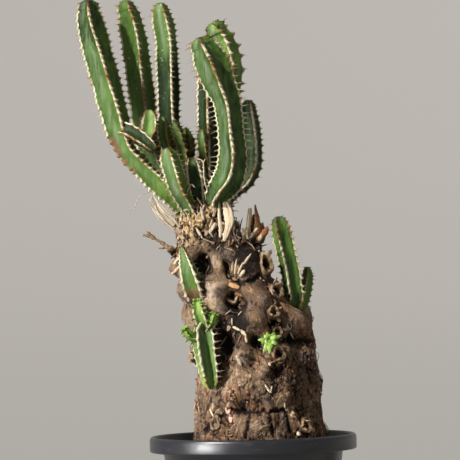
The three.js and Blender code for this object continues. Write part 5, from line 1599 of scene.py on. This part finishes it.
def bark_material():
    """Brown, red-brown and grey-pink bark with fine cracks, straw-coloured at the crown."""
    coat = Coat("cracked_bark", 0.85, 0.2)
    pale, red, straw, rough = coat.marks
    fine = coat.grain(1300, 0.7, 5)
    fibres = coat.grain(560, 0.28, 5, 2)
    patches = coat.grain(90, 0.6, 4)
    clouds = coat.grain(60, 0.7, 5, 1.5)
    wide = coat.times(coat.cracks(170, 0.5, 0.006, 0.07), rough, coat.ramp(patches, 0.46, 0.6))
    thin = coat.times(coat.cracks(430, 0.4, 0.003, 0.16), rough, coat.ramp(clouds, 0.48, 0.62))
    value = coat.vary(pale, (fine, 0.8), (fibres, 1))
    value = coat.minus(value, coat.times(wide, 0.5), coat.times(thin, 0.3))
    pink = coat.ramp(clouds, 0.5, 0.62)
    red = coat.times(coat.ramp(patches, 0.4, 0.62), coat.ramp(red, 0.1, 0.8))
    colour = coat.blend(pink, coat.tones("brown_bark", value), coat.tones("pink_bark", value))
    colour = coat.blend(red, colour, coat.tones("red_bark", value))
    colour = coat.blend(coat.times(straw, 0.8), colour, coat.tones("straw_bark", value))
    height = coat.minus(coat.plus(coat.times(fine, 0.5), fibres), coat.plus(wide, coat.times(thin, 0.4)))
    return coat.finish(colour, height, 0.0014, 1)


def dry_material():
    """Tan, orange-brown and pink husks with fibres along them."""
    coat = Coat("dry_husk", 0.7, 0.25)
    pale, warmth, _, _ = coat.marks
    fine = coat.grain(900, 0.15, 4, 0.3)
    specks = coat.grain(450, 0.7, 3)
    value = coat.vary(pale, (fine, 0.9), (specks, 0.6))
    tan, orange, pink = (coat.tones(name, value) for name in ("tan_husk", "orange_husk", "pink_husk"))
    colour = coat.blend(coat.ramp(warmth, 0.35, 1), tan, orange)
    colour = coat.blend(coat.ramp(warmth, 1.05, 1.3), colour, pink)
    return coat.finish(colour, coat.plus(fine, coat.times(specks, 0.5)), 0.0006, 0.8)


def green_material():
    """Waxy green skin with pale bloom on its faces, horny margins, spines and corky roots. The bloom is
    heavier on the left as a painted sheen where the key light falls, and the dark skin of stems in shade is
    painted shade.
    """
    coat = Coat("ribbed_green_skin", 0.42, 0.18)
    horny, brown, corky, face = coat.marks
    freshness_and_shade, bloomed, speckled, _ = coat.layer("skin")
    mottle = coat.grain(140, 0.5, 4)
    streaks = coat.grain(260, 0.13, 5, 0.8)
    fine = coat.grain(1500, 0.6, 4)
    # The skin's darkness: real freshness, and painted shade on stems that stand in shade.
    green = coat.tones("green_skin", coat.vary(freshness_and_shade, (mottle, 0.75), (streaks, 0.4)))
    # Bloom from the face mark, with a painted sheen heavier on the sunlit left.
    bloom = coat.times(coat.ramp(streaks, 0.36, 0.7), coat.ramp(face, 0.1, 0.9), bloomed)
    green = coat.blend(coat.times(bloom, 0.5), green, BLOOM_COLOUR)
    cells = coat.node("TexVoronoi", Vector=coat.spot, Scale=330.0)
    dots = coat.minus(1.0, coat.ramp(cells.outputs["Distance"], 0.12, 0.24))
    dots = coat.times(dots, coat.ramp(mottle, 0.5, 0.6), speckled)
    green = coat.blend(coat.times(dots, 0.8), green, SPECK_COLOUR)
    cork = coat.tones("cork", coat.plus(coat.times(fine, 0.9), 0.1))
    green = coat.blend(coat.ramp(corky, 0.35, 0.75), green, cork)
    horn = coat.tones("horn", coat.minus(coat.plus(0.7, coat.times(fine, 0.6)), brown))
    colour = coat.blend(coat.ramp(horny, 0.35, 0.6), green, horn)
    coat.feed(coat.shader["Roughness"], coat.plus(coat.times(bloom, 0.15), 0.4))
    return coat.finish(colour, coat.plus(fine, mottle), 0.0008, 0.5)


def fresh_material():
    """Fresh pale green leaves."""
    coat = Coat("fresh_leaf", 0.45, 0.4)
    fine = coat.grain(500, 0.8, 3)
    return coat.finish(coat.tones("fresh_leaf", coat.vary(coat.marks[0], (fine, 0.5))), fine, 0.0003, 0.4)


def plastic_material():
    """Dark moulded plastic with faint clouds and dusty scuffs round it."""
    coat = Coat("pot_plastic", 0.3, 0.5)
    cloud = coat.grain(40, 1, 5)
    fine = coat.grain(2500, 1, 2, 0)
    dust = coat.times(coat.ramp(coat.grain(90, 8, 6), 0.58, 0.75), 0.25)
    colour = coat.blend(dust, coat.blend(cloud, *PLASTIC_COLOURS), DUST_COLOUR)
    coat.feed(coat.shader["Roughness"], coat.plus(coat.times(cloud, 0.14), 0.24, dust))
    return coat.finish(colour, coat.plus(fine, cloud), 0.0002, 0.3)


def soil_material():
    """Coarse brown and grey potting mix."""
    coat = Coat("potting_mix", 0.95, 0.15)
    pale, grey, _, _ = coat.marks
    fine = coat.grain(1100, 1, 5)
    value = coat.vary(pale, (fine, 0.6))
    browns, greys = (coat.tones(name, value) for name in ("brown_soil", "grey_soil"))
    colour = coat.blend(coat.ramp(grey, 0.6, 0.75), browns, greys)
    return coat.finish(colour, fine, 0.001, 0.9)


# Floor, light and camera

def toward(turn, rise):
    """The direction at a turn to the right of the front, and at a rise above level."""
    return Vector((math.sin(turn) * math.cos(rise), -math.cos(turn) * math.cos(rise), math.sin(rise)))


def build_floor():
    """A plain floor that curves up all round."""
    bm = bmesh.new()
    turn_section(bm, FLOOR_SECTION, FLOOR_STEPS, weld=1e-3)
    to_metres(bm)
    for face in bm.faces:
        face.smooth = True
    floor = add_mesh("floor", bm)
    pale = bpy.data.materials.new("pale_floor")
    pale.use_nodes = True
    shader = pale.node_tree.nodes["Principled BSDF"].inputs
    shader["Roughness"].default_value = 1
    shader["Specular IOR Level"].default_value = 0
    shader["Base Color"].default_value = FLOOR_COLOUR
    floor.data.materials.append(pale)


def build_lights():
    world = bpy.data.worlds.new("soft_sky")
    world.use_nodes = True
    sky = world.node_tree.nodes["Background"].inputs
    sky["Color"].default_value = SKY_COLOUR
    sky["Strength"].default_value = SKY_STRENGTH
    bpy.context.scene.world = world

    lamp = bpy.data.lights.new("key", "SUN")
    lamp.energy = KEY_STRENGTH
    lamp.angle = KEY_SOFTNESS
    lamp.color = KEY_COLOUR
    key = add_object("key", lamp)
    key.rotation_euler = toward(**KEY_FROM).to_track_quat("Z", "Y").to_euler()

    lamp = bpy.data.lights.new("soft_box", "AREA")
    lamp.shape = "RECTANGLE"
    lamp.size, lamp.size_y = (side * MM for side in SOFT_BOX["size"])
    lamp.energy = SOFT_BOX["watts"]
    lamp.spread = SOFT_BOX["spread"]
    box = add_object("soft_box", lamp)
    out = toward(SOFT_BOX["turn"], SOFT_BOX["rise"])
    box.location = out * (SOFT_BOX["away"] * MM)
    box.rotation_euler = out.to_track_quat("Z", "Y").to_euler()
    box.visible_camera = False


def build_camera():
    view = bpy.data.cameras.new("camera")
    view.sensor_fit = "HORIZONTAL"
    view.angle = CAMERA_VIEW
    view.clip_start, view.clip_end = CAMERA_CLIPS
    camera = add_object("camera", view)
    right = Vector((math.cos(CAMERA_ROLL), 0, -math.sin(CAMERA_ROLL)))
    up = Vector((math.sin(CAMERA_ROLL), 0, math.cos(CAMERA_ROLL)))
    turn = Matrix((right, up, FRONT)).transposed()
    camera.matrix_world = Matrix.Translation(Vector(CAMERA_PLACE) * MM) @ turn.to_4x4()
    bpy.context.scene.camera = camera
    bpy.context.scene.view_settings.view_transform = "Standard"


build_camera()
build_floor()
build_lights()
dry = dry_material()
build_trunk(bark_material(), dry)
build_stems(green_material())
build_rosette(fresh_material())
build_dry_pieces(dry)
build_crown_husks(dry)
build_pot(plastic_material())
build_soil(soil_material())
